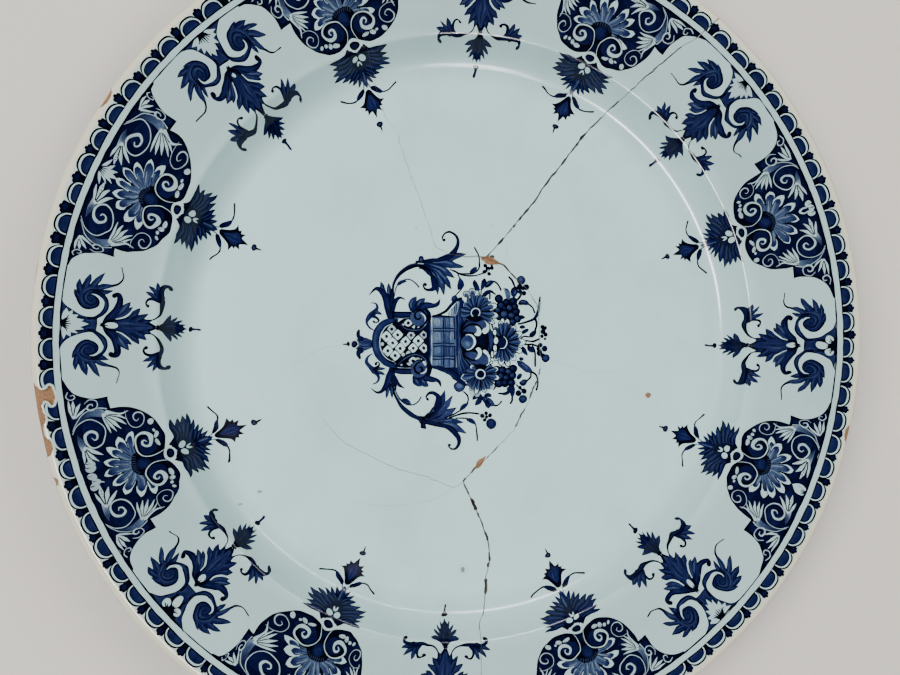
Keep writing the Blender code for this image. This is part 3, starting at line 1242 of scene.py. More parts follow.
    @staticmethod
    def daisy(brush: Brush, count: int) -> None:
        """The half daisy: petals with white tips round a dark eye.

        Petal roots and tips stand on two ellipses, at even angles from the left
        over the top to the right.

        Args:
            brush: lays the strokes, in the motif's frame.
            count: how many petals.
        """
        eye = np.array([0.4, 31.0])
        rng = brush.rng
        brush.disc(tuple(eye), (12, 7.4), Tone.INK)
        order = sorted(range(count), key=lambda k: -abs(k - (count - 1) / 2))
        for k in order:
            turn = math.radians(180 - 180 * k / (count - 1) + 1.2 * float(rng.normal()))
            way = np.array([math.cos(turn), -math.sin(turn)])
            root = eye + (0, -3.2) + way * (6.4, 3.4)
            tip = eye + (0, -0.6) + way * (24.2, 21.4) * (1 + 0.02 * float(rng.normal()))
            share = np.linspace(0, 1, 26)
            bow = 0.9 * float(rng.normal()) * np.sin(share * math.pi)
            spine = root + (tip - root) * share[:, None]
            spine = spine + across(spine) * bow[:, None]
            wide = (2.95 if count > 8 else 3.2) * (0.84 if abs(math.cos(turn)) > 0.93 else 1)
            swell = wide * np.interp(share, (0, 0.3, 0.58, 0.8, 0.92, 1),
                                     (0.5, 0.78, 1, 0.92, 0.62, 0.12))
            brush.ribbon(spine, swell + 0.34, Tone.INK)
            white = share > 0.42
            brush.ribbon(spine[white], swell[white] * 0.96, Tone.WHITE)
            end = 0.79 + 0.05 * float(rng.normal())
            body = share < end
            inner = np.where(share > 0.36, swell - 0.42, swell) * np.interp(
                share, (0, end - 0.2, end - 0.07, end), (1, 1, 0.86, 0.5))
            brush.ribbon(spine[body], inner[body], 0.34, 0.6)
            side = across(spine)
            thumb = (share > end - 0.34) & (share < end)
            brush.ribbon(spine[thumb] + side[thumb] * 0.2, inner[thumb] * 0.78, 0.5, 0.78)
            for at, tone in ((0.48, 0.24), (-0.36, 0.66), (0.05, 0.42)):
                vein = (share > 0.06) & (share < 0.5 + 0.14 * at)
                brush.ribbon(spine[vein] + side[vein] * (inner[vein] * at)[:, None],
                             np.full(int(vein.sum()), 0.26), tone)
        brush.disc(tuple(eye), (9.4, 6.7), Tone.INK)
        for s in np.linspace(-6.5, 7.2, 9):
            top = 24.9 + abs(s - 0.4) ** 2 * 0.035
            brush.line([(s, top), (s * 0.88, top + 1.9)], (0.2, 0.16), 0.5)
        brush.disc((0.6, 31.2), (4.4, 4.3), 0.84)
        brush.disc((0.6, 30.6), (2.9, 2.5), 0.74)

    @classmethod
    def flower(cls, brush: Brush, which: int) -> None:
        """The white flower at the top: a bud, a trefoil, a palmette or two blooms.

        Args:
            brush: lays the strokes, in the motif's frame.
            which: number of the flower.
        """
        if which == 0:
            brush.patch(both([(0, -1.4), (2.6, -1.1), (3.6, 1.4), (3.3, 4), (1.7, 6.4),
                              (0, 8), (0, 8)]), Tone.WHITE)
            for s in (-1.9, -0.9, 0.2, 1.3):
                brush.line([(s * 0.6, -1.5), (s, 1.7 - abs(s) * 0.4)], (0.42, 0.18), 0.9)
            brush.line([(1.5, 1.8), (1.8, 4.8)], (0.1, 0.2, 0.1), 0.5)
        elif which == 1:
            for x, y, wide, tall in ((-3.4, 1.9, 2.2, 2.3), (3.4, 1.9, 2.2, 2.3),
                                     (0, 0.8, 1.9, 1.8)):
                brush.disc((x, y), (wide, tall), 0.04)
            brush.line([(-1.4, 3), (-1.9, 6), (0, 8), (1.8, 6), (1.3, 3.4)],
                       (0.35, 0.5, 0.75, 0.5, 0.35), 0.04)
            for x in (-2.6, 2.4, 0.1):
                brush.line([(x, -0.6), (x * 1.25, 2)], (0.4, 0.15), 0.9)
        elif which == 2:
            for tip, bend, wide in (
                    ((-9, 2.8), (-4.6, 0.8), 0.9), ((-6.6, 5.6), (-3.4, 3), 1.1),
                    ((-3.6, 8.4), (-2, 5), 1.3), ((0.6, 9.6), (0.2, 5.6), 1.6),
                    ((4.4, 8), (2.4, 4.6), 1.2), ((7, 5.4), (3.6, 2.6), 1.1),
                    ((9.2, 2), (4.8, 0.4), 1.0)):
                brush.line([(bend[0] * 0.2, -0.6), bend, tip], (0.5, wide, wide * 0.8, 0.1),
                           0.05)
            for s in (-4.4, -2.4, -0.6, 1.4, 3.4):
                brush.line([(s * 0.3, -1.6), (s, 2.8)], (0.6, 0.2), 0.92)
        else:
            for x, y in ((-8.4, 3.6), (-5.8, 3.4), (-0.6, 2.6), (3.4, 3.6), (6.4, 2)):
                brush.disc((x, y), (2.4, 2.6), 0.1)
                brush.line([(x - 0.6, y - 2), (x - 0.4, y)], (0.4, 0.15), 0.85)
            brush.line([(3.4, 4), (5, 7.8)], (1.2, 0.3), 0.1)

    @staticmethod
    def lower_half(half: Brush, side: int) -> None:
        """Lower spiral, side spiral and white florets of one side.

        Args:
            half: brush of one side, which counts away from the axis.
            side: 1 for the right, -1 for the left.
        """
        half.patch([(4.4, 45), (2.4, 41), (2.0, 37), (4.2, 32.4), (8, 29.8), (12.6, 29.2),
                    (17, 30.2), (20.4, 32.8), (21.8, 36), (20.8, 40), (16, 43.4),
                    (9, 45.6)], Tone.INK)
        half.disc((11, 37), (6.6, 5.2), 0.84)
        half.line([(4.6, 45.2), (2.9, 41.4), (2.6, 37.2), (4.6, 33.2), (8, 30.9), (12, 30.2),
                   (16, 30.8), (19.4, 32.8), (20.9, 35.6), (19.8, 38.4), (17, 40),
                   (13.6, 39.9), (11.3, 38.2), (11.2, 35.9), (12.9, 34.2), (15, 34.6),
                   (15.7, 36.2), (14.4, 37.3)],
                  (0.16, 0.24, 0.27, 0.3, 0.32, 0.35, 0.38, 0.42, 0.5, 0.62, 0.8, 1.05,
                   1.15, 1.1, 0.9, 0.7, 0.5, 0.2), 0.05)
        half.line([(37.4, 29.6), (32.4, 29.2), (27.6, 30.8), (25.5, 34.4), (26.8, 38),
                   (30.4, 39.6), (34, 38.4), (35.1, 35.6), (33.4, 33.4), (30.8, 33.2),
                   (29.5, 34.9), (30.8, 36.2)],
                  (0.08, 0.14, 0.17, 0.2, 0.21, 0.22, 0.26, 0.36, 0.46, 0.4, 0.26, 0.12), 0.1)
        florets = {
            1: ((14.6, 43.9, 2.9, 1.3, 0), (19.2, 43.2, 1.7, 1.6, 20),
                (22.6, 42, 1.3, 1.1, 0), (26.2, 42, 1.5, 1.0, 40)),
            -1: ((11.6, 43.4, 2.9, 1.0, -14), (17.6, 43.2, 2.5, 1.3, 16),
                 (21, 42.4, 1.2, 0.8, 0), (27, 42.6, 2.0, 1.6, 20))}[side]
        for x, y, wide, tall, turn in florets:
            half.disc((x, y), (wide, tall), 0.06, turn)
        for x, y, wide, tall, _ in florets[:2]:
            for k in (-0.5, 0.1, 0.6):
                half.line([(x + wide * k, y - tall), (x + wide * k * 0.8, y - 0.2)],
                          (0.22, 0.1), 0.85)

    @staticmethod
    def pendant(brush: Brush) -> None:
        """Bead, feathered wing, tendrils, tulip leaf, ball and pin.

        Args:
            brush: lays the strokes, in the motif's frame.
        """
        brush.patch(both([(0, 51.6), (4, 50.6), (7, 48.4), (7, 48.4), (9.6, 50.6), (13, 53),
                          (15, 56), (8, 60), (0, 62)]), Tone.INK)
        for half in brush.halves():
            half.patch([(0, 52), (7, 51), (14, 53.2), (19, 55), (16, 58.4), (10, 60.6),
                        (4, 64), (0, 65)], 0.92)
            for path, wide, tone in (
                    ([(0.5, 60), (3.6, 63), (7.4, 67.2)], 1.5, 0.82),
                    ([(0.5, 59), (6, 61.6), (11.8, 65.4)], 1.5, 0.8),
                    ([(0.5, 57.6), (8, 60.6), (15.6, 63.4)], 1.5, 0.82),
                    ([(1, 56), (11, 59.2), (21, 61.6)], 1.5, 0.76),
                    ([(2, 54.6), (14, 57.6), (27.6, 60)], 1.6, 0.78),
                    ([(2.4, 53.4), (14, 56), (27, 57.6)], 1.5, 0.74),
                    ([(3, 52.4), (13, 54.6), (25.4, 55)], 1.4, 0.8),
                    ([(4, 50.6), (13, 53.2), (26.4, 52)], 1.6, 0.84)):
                half.leaf(path, wide, tone, edge=0.4, root=0.7, vein=Tone.BLUE)
            half.disc((3.3, 54.2), (2.8, 1.3), Tone.WHITE, 6)
            half.line([(1.5, 65.5), (2.8, 69), (4.6, 71)], 0.4)
            half.leaf([(3.8, 70.2), (9.2, 72.6), (15, 75)], 1.9, Tone.COBALT, root=0.7,
                      vein=None)
            half.line([(14.5, 74.9), (20, 74.6), (29, 71)], (0.6, 0.5, 0.7))
        brush.disc((0.2, 56.9), (2.0, 1.5), Tone.WHITE)
        brush.leaf([(0, 58.4), (0, 63), (-0.4, 69.2)], 3.3, Tone.DEEP, root=0.8)
        brush.disc((0, 47.4), (5.5, 3.8), 0.02)
        brush.disc((0, 47.6), (4.1, 2.4), Tone.INK)
        brush.disc((0.2, 47.7), (2.5, 1.2), 0.86)
        tulip = [(0, 70.2), (2.4, 71.2), (4.8, 74.4), (7.4, 77.6), (9.8, 79.2), (13.8, 80),
                 (13.8, 80), (8.8, 82), (8.8, 82), (10.5, 83.6), (10.5, 83.6), (7.1, 84),
                 (7.1, 84), (8.2, 87.2), (8.2, 87.2), (3.6, 85.5), (2.2, 87.4), (0, 91.3)]
        brush.patch(both(tulip), Tone.INK)
        brush.patch(both([(0, 73.6), (2.2, 75.6), (4.8, 79.2), (6.4, 81.4), (5.4, 84),
                          (2.6, 84.6), (0, 87)]), Tone.COBALT, Tone.DEEP, [(0, 87), (0, 76)])
        brush.line([(-1.6, 76), (-2.4, 80), (-1.8, 84)], (0.2, 0.5, 0.15), Tone.BLUE)
        brush.line([(1.2, 77), (2, 81), (1, 85)], (0.2, 0.4, 0.15), Tone.BLUE)
        brush.disc((0, 95.4), (3.5, 1.9), Tone.INK)
        brush.disc((0.3, 95.4), (1.6, 0.7), Tone.BLUE)
        brush.line([(0.2, 96.6), (-0.5, 100.4)], (1.2, 0.7))


@dataclass(frozen=True)
class Foliate:
    """The lighter motif between cartouches: curled leaves on a post, an acanthus below."""

    foot: float = 70.7

    def frame(self, place: Place, seed: int) -> Lay:
        """Frame of one copy, leaning from its axis to its ball.

        Args:
            place: where the copy stands.
            seed: of the hand's wander.

        Returns:
            The frame, from the design to the plan.
        """
        hand, band = unsteady(seed), bent(place.degrees)

        def lay(points: Array) -> Array:
            """Lean the design, then lay it on the band.

            Args:
                points: points of the design.

            Returns:
                Plan points.
            """
            s, d = hand(points).T
            share = np.clip(d / self.foot, 0, 1.2)
            fade = 1 - np.clip((np.abs(s) - 36) / 24, 0, 1)
            lean = (place.axis + (place.ball - place.axis) * share ** 2) * fade
            deep = np.where(d > 0, d * place.ball_depth / self.foot, d)
            return band(np.stack([s + lean, deep], axis=1))

        return lay

    def paint(self, brush: Brush, place: Place) -> None:
        """Lay the whole foliate of one place.

        Args:
            brush: lays the strokes, in the motif's frame.
            place: where the copy stands, and what varies in it.
        """
        fine = replace(brush, step=0.6)
        self.post(fine, place.flower)
        for half in fine.halves():
            self.curled_leaf(half)
        self.acanthus(fine, place.eye)
        for half in fine.halves():
            self.sprig(half)
        self.pendant(fine)

    @staticmethod
    def post(brush: Brush, flower: int) -> None:
        """The dark post that flares up into the band, with a white palmette.

        Args:
            brush: lays the strokes, in the motif's frame.
            flower: 0 for the trefoil, 1 for the palmette.
        """
        brush.patch(both([
            (0, -1.9), (17.4, -1.9), (17.4, -1.9), (13.4, -0.2), (10.2, 2.4), (7.8, 6.2),
            (6.2, 10.2), (5.4, 14), (5.7, 17.6), (6.1, 18.5), (6.1, 18.5), (0, 18.6)]),
            Tone.INK)
        for half in brush.halves():
            half.patch([(6.4, -1), (14.6, -1.3), (10.6, 0.9), (8, 4), (6.2, 8), (5, 12),
                        (4.6, 8), (5.4, 4)], 0.7, smooth=False)
        brush.patch(both([(0, 10), (4.4, 10.6), (4.6, 17.4), (0, 17.6)]), 0.8, 0.7,
                    [(0, 10), (0, 17)])
        brush.line([(-2.6, 12.4), (-2.2, 16.4)], (0.1, 0.3, 0.1), 0.6)
        brush.line([(2.8, 12), (2.6, 15.6)], (0.1, 0.3, 0.1), 0.6)
        if flower == 0:
            for x, y, wide, tall in ((-4.3, 2.6, 2.6, 2.5), (4.5, 2.6, 2.6, 2.5),
                                     (0.2, 7.5, 2.8, 3.8)):
                brush.disc((x, y), (wide, tall), Tone.WHITE)
        else:
            for tip, bend, wide in (
                    ((-10, 0.8), (-5.4, 0.4), 1.4), ((-8.6, 4.2), (-4.8, 2.2), 1.5),
                    ((-6.2, 8), (-3.8, 4.6), 1.5), ((-3, 11), (-2, 6.4), 1.5),
                    ((0.2, 13.4), (0, 8.4), 2.0), ((3.4, 11), (2, 6.4), 1.5),
                    ((6.2, 7.8), (3.8, 4.6), 1.5), ((8.6, 4), (4.8, 2.2), 1.5),
                    ((10, 0.6), (5.4, 0.4), 1.4)):
                brush.line([(bend[0] * 0.2, 0), bend, tip], (0.8, wide * 1.2, wide, 0.1), 0.03)
        for s in (-5.2, -3.4, -1.7, 0, 1.7, 3.4, 5.2):
            brush.line([(s * 0.2, -1.4), (s * 0.7, 1.6), (s, 4.6 - abs(s) * 0.5)],
                       (0.75, 0.5, 0.2))
        brush.disc((0, -0.6), (2.4, 1.3), Tone.INK)

    @staticmethod
    def curled_leaf(half: Brush) -> None:
        """The dark band from the foot of the post, and the leaf that curls from it.

        Args:
            half: brush of one side, which counts away from the axis.
        """
        half.patch([(10.6, 14.4), (11, 10.8), (12.8, 8), (15.8, 6), (19, 5.2), (22.6, 5.6),
                    (25.6, 8), (27.6, 12), (27.8, 16.4), (26.6, 20), (24, 20.6),
                    (22.2, 18.4), (21.6, 15), (19.4, 18.4), (15.6, 19.3), (12.2, 18)],
                   Tone.INK)
        for route, wide, tone in (
                ([(21, 15.4), (23.4, 20.8), (25.4, 26)], 1.7, 0.78),
                ([(21.6, 14), (27, 19.6), (30.4, 27.8)], 2.1, 0.7),
                ([(20.6, 12), (28, 14.8), (37, 20)], 2.1, 0.72),
                ([(19.6, 10), (26.6, 10.2), (35.4, 11.9)], 2.1, 0.74),
                ([(18, 8.6), (23.6, 7), (30.8, 6.6)], 1.9, 0.76),
                ([(14.6, 9), (18.8, 6.2), (23.6, 4.3)], 1.5, 0.8)):
            half.leaf(route, wide, tone, edge=0.36, root=0.8, vein=0.58)
        half.patch([(11.5, 14), (12.1, 10.8), (14, 8.4), (17.4, 6.9), (21.4, 7.4),
                    (24.8, 10), (26.2, 14), (25.4, 18), (23.8, 18.4), (22.6, 15.8),
                    (21.7, 13), (20.4, 16.4), (17.4, 18.4), (14.2, 17.8), (12.2, 16.2)],
                   0.78, 0.7, [(14, 16), (25, 10)])
        for route, wide, tone in (
                ([(25, 16.6), (24.4, 12.6), (21.6, 9.6), (18, 9.2)], 0.6, 0.58),
                ([(12.8, 14), (13.8, 10.8), (17, 8.4), (21, 8.2)], 0.5, 0.64),
                ([(15.2, 14.4), (16.2, 11.8), (18.8, 10.8), (21, 12)], 0.45, 0.6),
                ([(14, 16.2), (16.4, 17.6), (19, 16.8), (20.6, 14.6)], 0.4, 0.66)):
            half.line(route, (0.1, wide, wide, 0.1), tone)
        half.line([(24.4, 19), (24.2, 14.6), (22, 10.8), (18.6, 9.4), (15.2, 10.6),
                   (13.6, 13.8), (14.8, 16.8), (17.6, 17.6), (20, 15.8), (20, 13),
                   (17.8, 11.9), (16.2, 13.4), (17, 15.2), (18.4, 14.8)],
                  (0.5, 0.34, 0.3, 0.3, 0.34, 0.34, 0.3, 0.28, 0.26, 0.24, 0.2, 0.15), 0.98)
        half.line([(4, 13.4), (5, 17.6), (8.6, 21.6), (13.6, 23.1), (18.6, 22.1), (22, 19.2),
                   (23.2, 15.4)], (0.9, 1.1, 1.5, 1.6, 1.6, 1.5, 0.9))
        half.line([(6.6, 19.6), (9.4, 21.8), (13.6, 22.9), (18.2, 21.8), (21.2, 19.2)],
                  (0.1, 0.5, 0.6, 0.5, 0.1), 0.68)
        half.line([(9.8, 17.6), (12.4, 20.2), (15.8, 21), (19, 19.8), (21.2, 17),
                   (21.2, 14.6)], (0.35, 0.7, 0.8, 0.85, 0.6, 0.15), 0.0)
        half.line([(29.6, 25.8), (31.8, 29), (36.4, 30.4), (43.4, 29.2)],
                  (1.0, 0.6, 0.4, 0.42))

    @staticmethod
    def acanthus(brush: Brush, drop: float) -> None:
        """The acanthus that hangs under the post.

        Args:
            brush: lays the strokes, in the motif's frame.
            drop: size of the white drop, 0 for none.
        """
        brush.patch(both([(0, 20.7), (1.6, 21.8), (3.6, 23.6), (3, 27), (0, 28)]), Tone.INK)
        for half in brush.halves():
            half.line([(1, 23.2), (5, 25), (9.6, 28.2), (14.6, 30.6), (19.2, 30.8),
                       (22.6, 29.4), (22.4, 27)], (1.4, 1.8, 2.2, 2.2, 2.0, 1.6, 1.2))
            half.disc((21.6, 27), (1.8, 1.6))
            half.leaf([(3.4, 25.4), (9.6, 31.4), (18.6, 36.8)], 3.0, 0.7, edge=0.55,
                      root=0.7, vein=0.56)
            half.leaf([(3.4, 26), (8.4, 32.4), (14.8, 38.4)], 2.6, 0.74, edge=0.5,
                      root=0.7, vein=0.6)
            half.line([(4, 24.6), (8.8, 28), (14.4, 30.6), (18.6, 30.8)],
                      (0.2, 0.8, 0.9, 0.2), 0.76)
            half.line([(8.4, 30.8), (12.6, 33.4), (16.6, 35.2)], (0.1, 0.6, 0.5, 0.1), 0.46)
        for half in brush.halves():
            half.patch([(0, 22), (2.2, 23), (4, 25.4), (4.8, 29), (6, 33.6), (8.8, 37.2),
                        (9.8, 41), (8, 45), (4.2, 48.8), (0, 52.4)], Tone.INK)
            half.leaf([(2.4, 33), (8, 38.8), (14.4, 42.8)], 2.8, 0.74, edge=0.5, root=0.8,
                      vein=0.6)
            half.leaf([(1.8, 36), (6.4, 42.4), (10.6, 48.2)], 2.8, 0.76, edge=0.5, root=0.8,
                      vein=0.62)
            half.leaf([(1, 40), (3.6, 45.4), (5.8, 50.8)], 2.2, 0.78, edge=0.34, root=0.8,
                      vein=0.64)
        brush.leaf([(0, 24), (0.1, 40), (0, 52.8)], 4.6, 0.74, edge=0.45, root=0.4)
        brush.patch(both([(0, 24), (2.4, 26.4), (3.4, 31), (5, 36.6), (4.4, 42), (0, 47)]),
                    0.78, 0.7, [(0, 24), (0, 42)])
        for route, wide, tone in (([(-1.2, 31), (-2, 37), (-1, 43)], 0.7, 0.58),
                                  ([(1.2, 33), (1.8, 39), (1, 46)], 0.5, 0.64),
                                  ([(0.1, 34), (0, 42), (0, 48)], 0.25, 0.97)):
            brush.line(route, (0.1, wide, wide * 0.8, 0.1), tone)
        for half in brush.halves():
            half.line([(4.6, 29.4), (5.9, 33.2), (8.9, 36.4), (12.6, 38.6)],
                      (0.25, 0.5, 0.55, 0.4), Tone.WHITE)
        if drop > 0:
            brush.disc((0, 27), (2.1 * drop, 3.2 * drop), Tone.WHITE)
            brush.line([(0, 27 - 3 * drop), (0.5, 27 - 1.4 * drop)], (0.5, 0.2))

    @staticmethod
    def sprig(half: Brush) -> None:
        """The fine sprig beside the acanthus.

        Args:
            half: brush of one side, which counts away from the axis.
        """
        half.line([(22.2, 54.6), (23.6, 51), (22.8, 47.8), (20.4, 46.3), (17.6, 46.6)],
                  (1.9, 1.5, 1.0, 0.65, 0.6))
        half.disc((17.4, 47.6), (1.5, 1.1))
        for route, wide in (([(23, 54.4), (26, 49.8), (28.4, 44.4)], 1.9),
                            ([(24.4, 54.6), (29.6, 50.8), (34, 46.2)], 1.9),
                            ([(25.6, 55), (31.4, 53), (37.4, 50.8)], 1.8)):
            half.leaf(route, wide, 0.74, edge=0.38, root=0.8, vein=0.6)
        half.line([(5.2, 47.8), (6.4, 51.6), (10.2, 54.3), (16.4, 55.4), (24, 54.9),
                   (31, 54.4), (34.8, 55), (35.8, 57.2), (33.4, 58.4)],
                  (0.4, 0.5, 0.6, 0.9, 1.2, 1.1, 1.3, 1.3, 0.8))

    @staticmethod
    def pendant(brush: Brush) -> None:
        """The small leaf of narrow spikes, its ball and pin.

        Args:
            brush: lays the strokes, in the motif's frame.
        """
        brush.disc((0, 54.2), (2.6, 0.9))
        brush.patch(both([(0, 54.2), (2.4, 55), (4.8, 57.2), (6.4, 59.4), (5, 62),
                          (2.8, 65), (0, 67)]), Tone.INK)
        brush.patch(both([(0, 55.4), (2, 56.2), (3.8, 58.2), (4.4, 60), (2.8, 63), (0, 65)]),
                    0.8)
        for half in brush.halves():
            for route, wide in (([(1.6, 56.6), (6.4, 58.2), (12.4, 59.6)], 1.4),
                                ([(1.4, 58), (6, 60.4), (10.6, 63)], 1.4),
                                ([(1.2, 59.6), (4.6, 62.4), (7.8, 65.6)], 1.4),
                                ([(0.8, 61), (2.4, 64), (3.8, 67.2)], 1.2)):
                half.leaf(route, wide * 0.86, 0.8, edge=0.34, root=0.9, vein=None)
        brush.leaf([(0, 55.6), (0, 61), (0, 68)], 1.9, 0.84, edge=0.4, root=0.8, vein=None)
        brush.line([(-0.9, 57), (-1.6, 60.4), (-0.7, 63.4)], (0.1, 0.4, 0.1), 0.72)
        brush.disc((0, 70.4), (2.8, 1.5))
        brush.line([(0, 71.4), (0.1, 74), (0.6, 76.8)], (1.3, 0.95, 1.2))


# ---------------------------------------------------------------- basket
@dataclass(frozen=True)
class FlowerBasket:
    """The basket of flowers on the floor of the dish, drawn in plan.

    It lies on its side: the scrolled foot is on the left, the flowers on the
    right, and two plumed arms curl out above and below.
    """

    def paint(self, brush: Brush) -> None:
        """Lay the whole basket, back to front.

        Args:
            brush: lays the strokes, in plan.
        """
        self.finial(brush)
        self.side_sprigs(brush)
        self.upper_plume(brush)
        self.lower_plume(brush)
        self.upper_arm(brush)
        self.lower_arm(brush)
        self.sprays(brush)
        self.foot(brush)
        self.upper_scroll(brush)
        self.lower_scroll(brush)
        self.stems(brush)
        self.berries(brush)
        self.woven_body(brush)
        self.flared_rim(brush)
        self.shell(brush)
        self.flowers(brush)
        self.beads(brush)

    @staticmethod
    def finial(brush: Brush) -> None:
        """The tulip, ball and pin at the far left.

        Args:
            brush: lays the strokes, in plan.
        """
        brush.line([(-85.2, -5), (-81, -4.9)], (0.5, 0.8))
        brush.disc((-81.6, -4.8), (1.1, 1.7))
        brush.disc((-77.4, -5.1), (2.3, 2.6), Tone.INK)
        brush.disc((-77.6, -4.8), 1.2, Tone.DEEP)
        brush.line([(-75.6, -5), (-64, -5.4)], (0.6, 0.5))
        mid = -5.1
        for side, horn in ((1, [(-72.2, -1.5), (-74.6, 1.2), (-73.9, 5.2)]),
                           (-1, [(-72.6, -9), (-74.6, -11.8), (-73.2, -15.4)])):
            brush.leaf([(-63.8, mid + side * 0.4), (-70, mid + side * 1.7),
                        (-76.2, mid + side * 3.4)], 3.0, Tone.BLUE, root=0.5)
            brush.line(horn, (2.2, 1.5, 0.8))
        brush.leaf([(-65, mid), (-70, mid), (-75, mid)], 1.9, Tone.BLUE, edge=0.3)
        brush.line([(-74.6, mid), (-72.4, -5.0)], (0.2, 0.5, 0.2), Tone.SKY)

    @staticmethod
    def side_sprigs(brush: Brush) -> None:
        """The two curled sprigs beside the foot.

        Args:
            brush: lays the strokes, in plan.
        """
        brush.line([(-63, 4.8), (-66.6, 7), (-68.4, 11), (-66.4, 15), (-62.8, 18.2),
                    (-60.9, 21.6), (-62.4, 24.6), (-65.8, 24.8)],
                   (0.35, 0.7, 0.9, 1.9, 2.4, 1.4, 0.7, 0.25), Tone.DEEP)
        brush.leaf([(-63.6, 18), (-60.8, 18), (-57.4, 16.6)], 1.4, Tone.DEEP, root=0.7)
        brush.line([(-64.8, 15.6), (-61.4, 14), (-60, 11.6), (-62, 10.4), (-63.8, 10.9)],
                   (1.5, 1.1, 0.7, 0.45, 0.4))
        brush.disc((-63.4, 11.3), 0.9)
        brush.line([(-64, -11.6), (-67.6, -14.2), (-68.6, -18), (-65.6, -22), (-62, -25.2),
                    (-60, -29), (-61, -32.4), (-64.2, -34)],
                   (0.3, 0.8, 1.2, 1.6, 2.4, 1.3, 0.8, 0.3), Tone.DEEP)
        brush.leaf([(-63.4, -23.4), (-59.6, -22.6), (-54.9, -22.9)], 1.3, Tone.DEEP, root=0.8)
        brush.leaf([(-62, -25.2), (-58.6, -25.6), (-55.2, -27.3)], 1.3, Tone.DEEP, root=0.8)
        brush.line([(-62.8, -22.8), (-60, -21), (-59.4, -18.8), (-61.2, -18), (-62.6, -19)],
                   (1.4, 0.9, 0.6, 0.5, 0.4))
        brush.disc((-61.8, -19.3), 1.1)

    @staticmethod
    def upper_plume(brush: Brush) -> None:
        """The plume above the foot, and the arm that rises from it.

        Args:
            brush: lays the strokes, in plan.
        """
        brush.leaf([(-54.6, 29), (-56.6, 34.4), (-58.6, 40.4)], 1.8, Tone.DEEP, root=0.9)
        brush.leaf([(-52, 29), (-52.4, 34), (-52.8, 39.2)], 1.7, Tone.DEEP, root=0.9)
        brush.line([(-50.5, 15), (-53, 22), (-55, 29), (-58.4, 33.8), (-62.4, 34.8),
                    (-66.8, 30.4)], (3.0, 3.2, 2.9, 2.2, 1.2, 0.25))
        brush.line([(-51.6, 18), (-53.8, 25), (-55.6, 30.4)], (0.4, 0.9, 0.3), Tone.DEEP)
        brush.line([(-50.4, 18), (-50.2, 28), (-50, 35)], (1.6, 1.8, 1.0))
        brush.line([(-49.6, 20), (-48.4, 25), (-45.8, 28.3), (-43, 28.4), (-41, 27)],
                   (1.4, 1.7, 1.4, 0.9, 0.25))
        brush.line([(-49.9, 33), (-49.4, 38), (-47, 43), (-43, 47.6), (-38, 50.8), (-32, 52.6),
                    (-26, 53.2)], (0.8, 0.9, 1.2, 1.5, 1.6, 1.8, 2.2))
        brush.line([(-48.6, 29), (-47.8, 35), (-45.4, 38.8), (-41.6, 41.4), (-37.6, 41.8),
                    (-33.6, 39.8), (-30.8, 36.2)], (0.35, 0.4, 0.5, 0.5, 0.45, 0.5, 0.5),
                   Tone.COBALT)
        brush.leaf([(-46.6, 37.8), (-43.4, 40), (-39.6, 40.4)], 1.5, Tone.DEEP, root=0.3,
                   vein=None)

    @staticmethod
    def lower_plume(brush: Brush) -> None:
        """The plume below the foot, and the arm that falls from it.

        Args:
            brush: lays the strokes, in plan.
        """
        brush.leaf([(-52.6, -34), (-53.6, -39), (-54.4, -44.2)], 1.7, Tone.DEEP, root=0.9)
        brush.leaf([(-51, -34), (-50.4, -39), (-50.2, -44.2)], 1.5, Tone.DEEP, root=0.9)
        brush.line([(-50, -23), (-52.2, -29), (-54.4, -34.6), (-58, -39.2), (-61.4, -39.6),
                    (-65.2, -36.8)], (2.7, 2.9, 2.4, 1.5, 0.8, 0.25))
        brush.line([(-51.2, -26), (-52.6, -31), (-54.4, -36)], (0.4, 0.9, 0.3), Tone.DEEP)
        brush.line([(-49.6, -24), (-49.6, -31), (-49.2, -37)], (1.8, 1.6, 0.8))
        brush.line([(-49, -28), (-47.4, -31.8), (-45, -34.8), (-41.4, -36.6)],
                   (1.5, 1.8, 1.3, 0.25))
        brush.line([(-48.6, -31), (-47.8, -34.6), (-47.3, -38.2)], (1.2, 1.0, 0.25))
        brush.line([(-49.4, -36), (-48.4, -41), (-46, -46), (-42, -51.4), (-37, -55.6),
                    (-31.4, -58.6), (-24.6, -60)], (0.7, 0.9, 1.2, 1.6, 1.7, 1.9, 2.2))
        brush.line([(-48.4, -37), (-45.8, -43), (-42.6, -46.8), (-38.6, -48.9), (-34.4, -48.8),
                    (-31, -46.6), (-29.3, -43.4)], (0.35, 0.5, 0.6, 0.6, 0.5, 0.5, 0.5),
                   Tone.COBALT)
        brush.leaf([(-43.8, -46), (-40, -46.2), (-36.4, -48.8)], 1.8, Tone.DEEP, root=0.3,
                   vein=None)

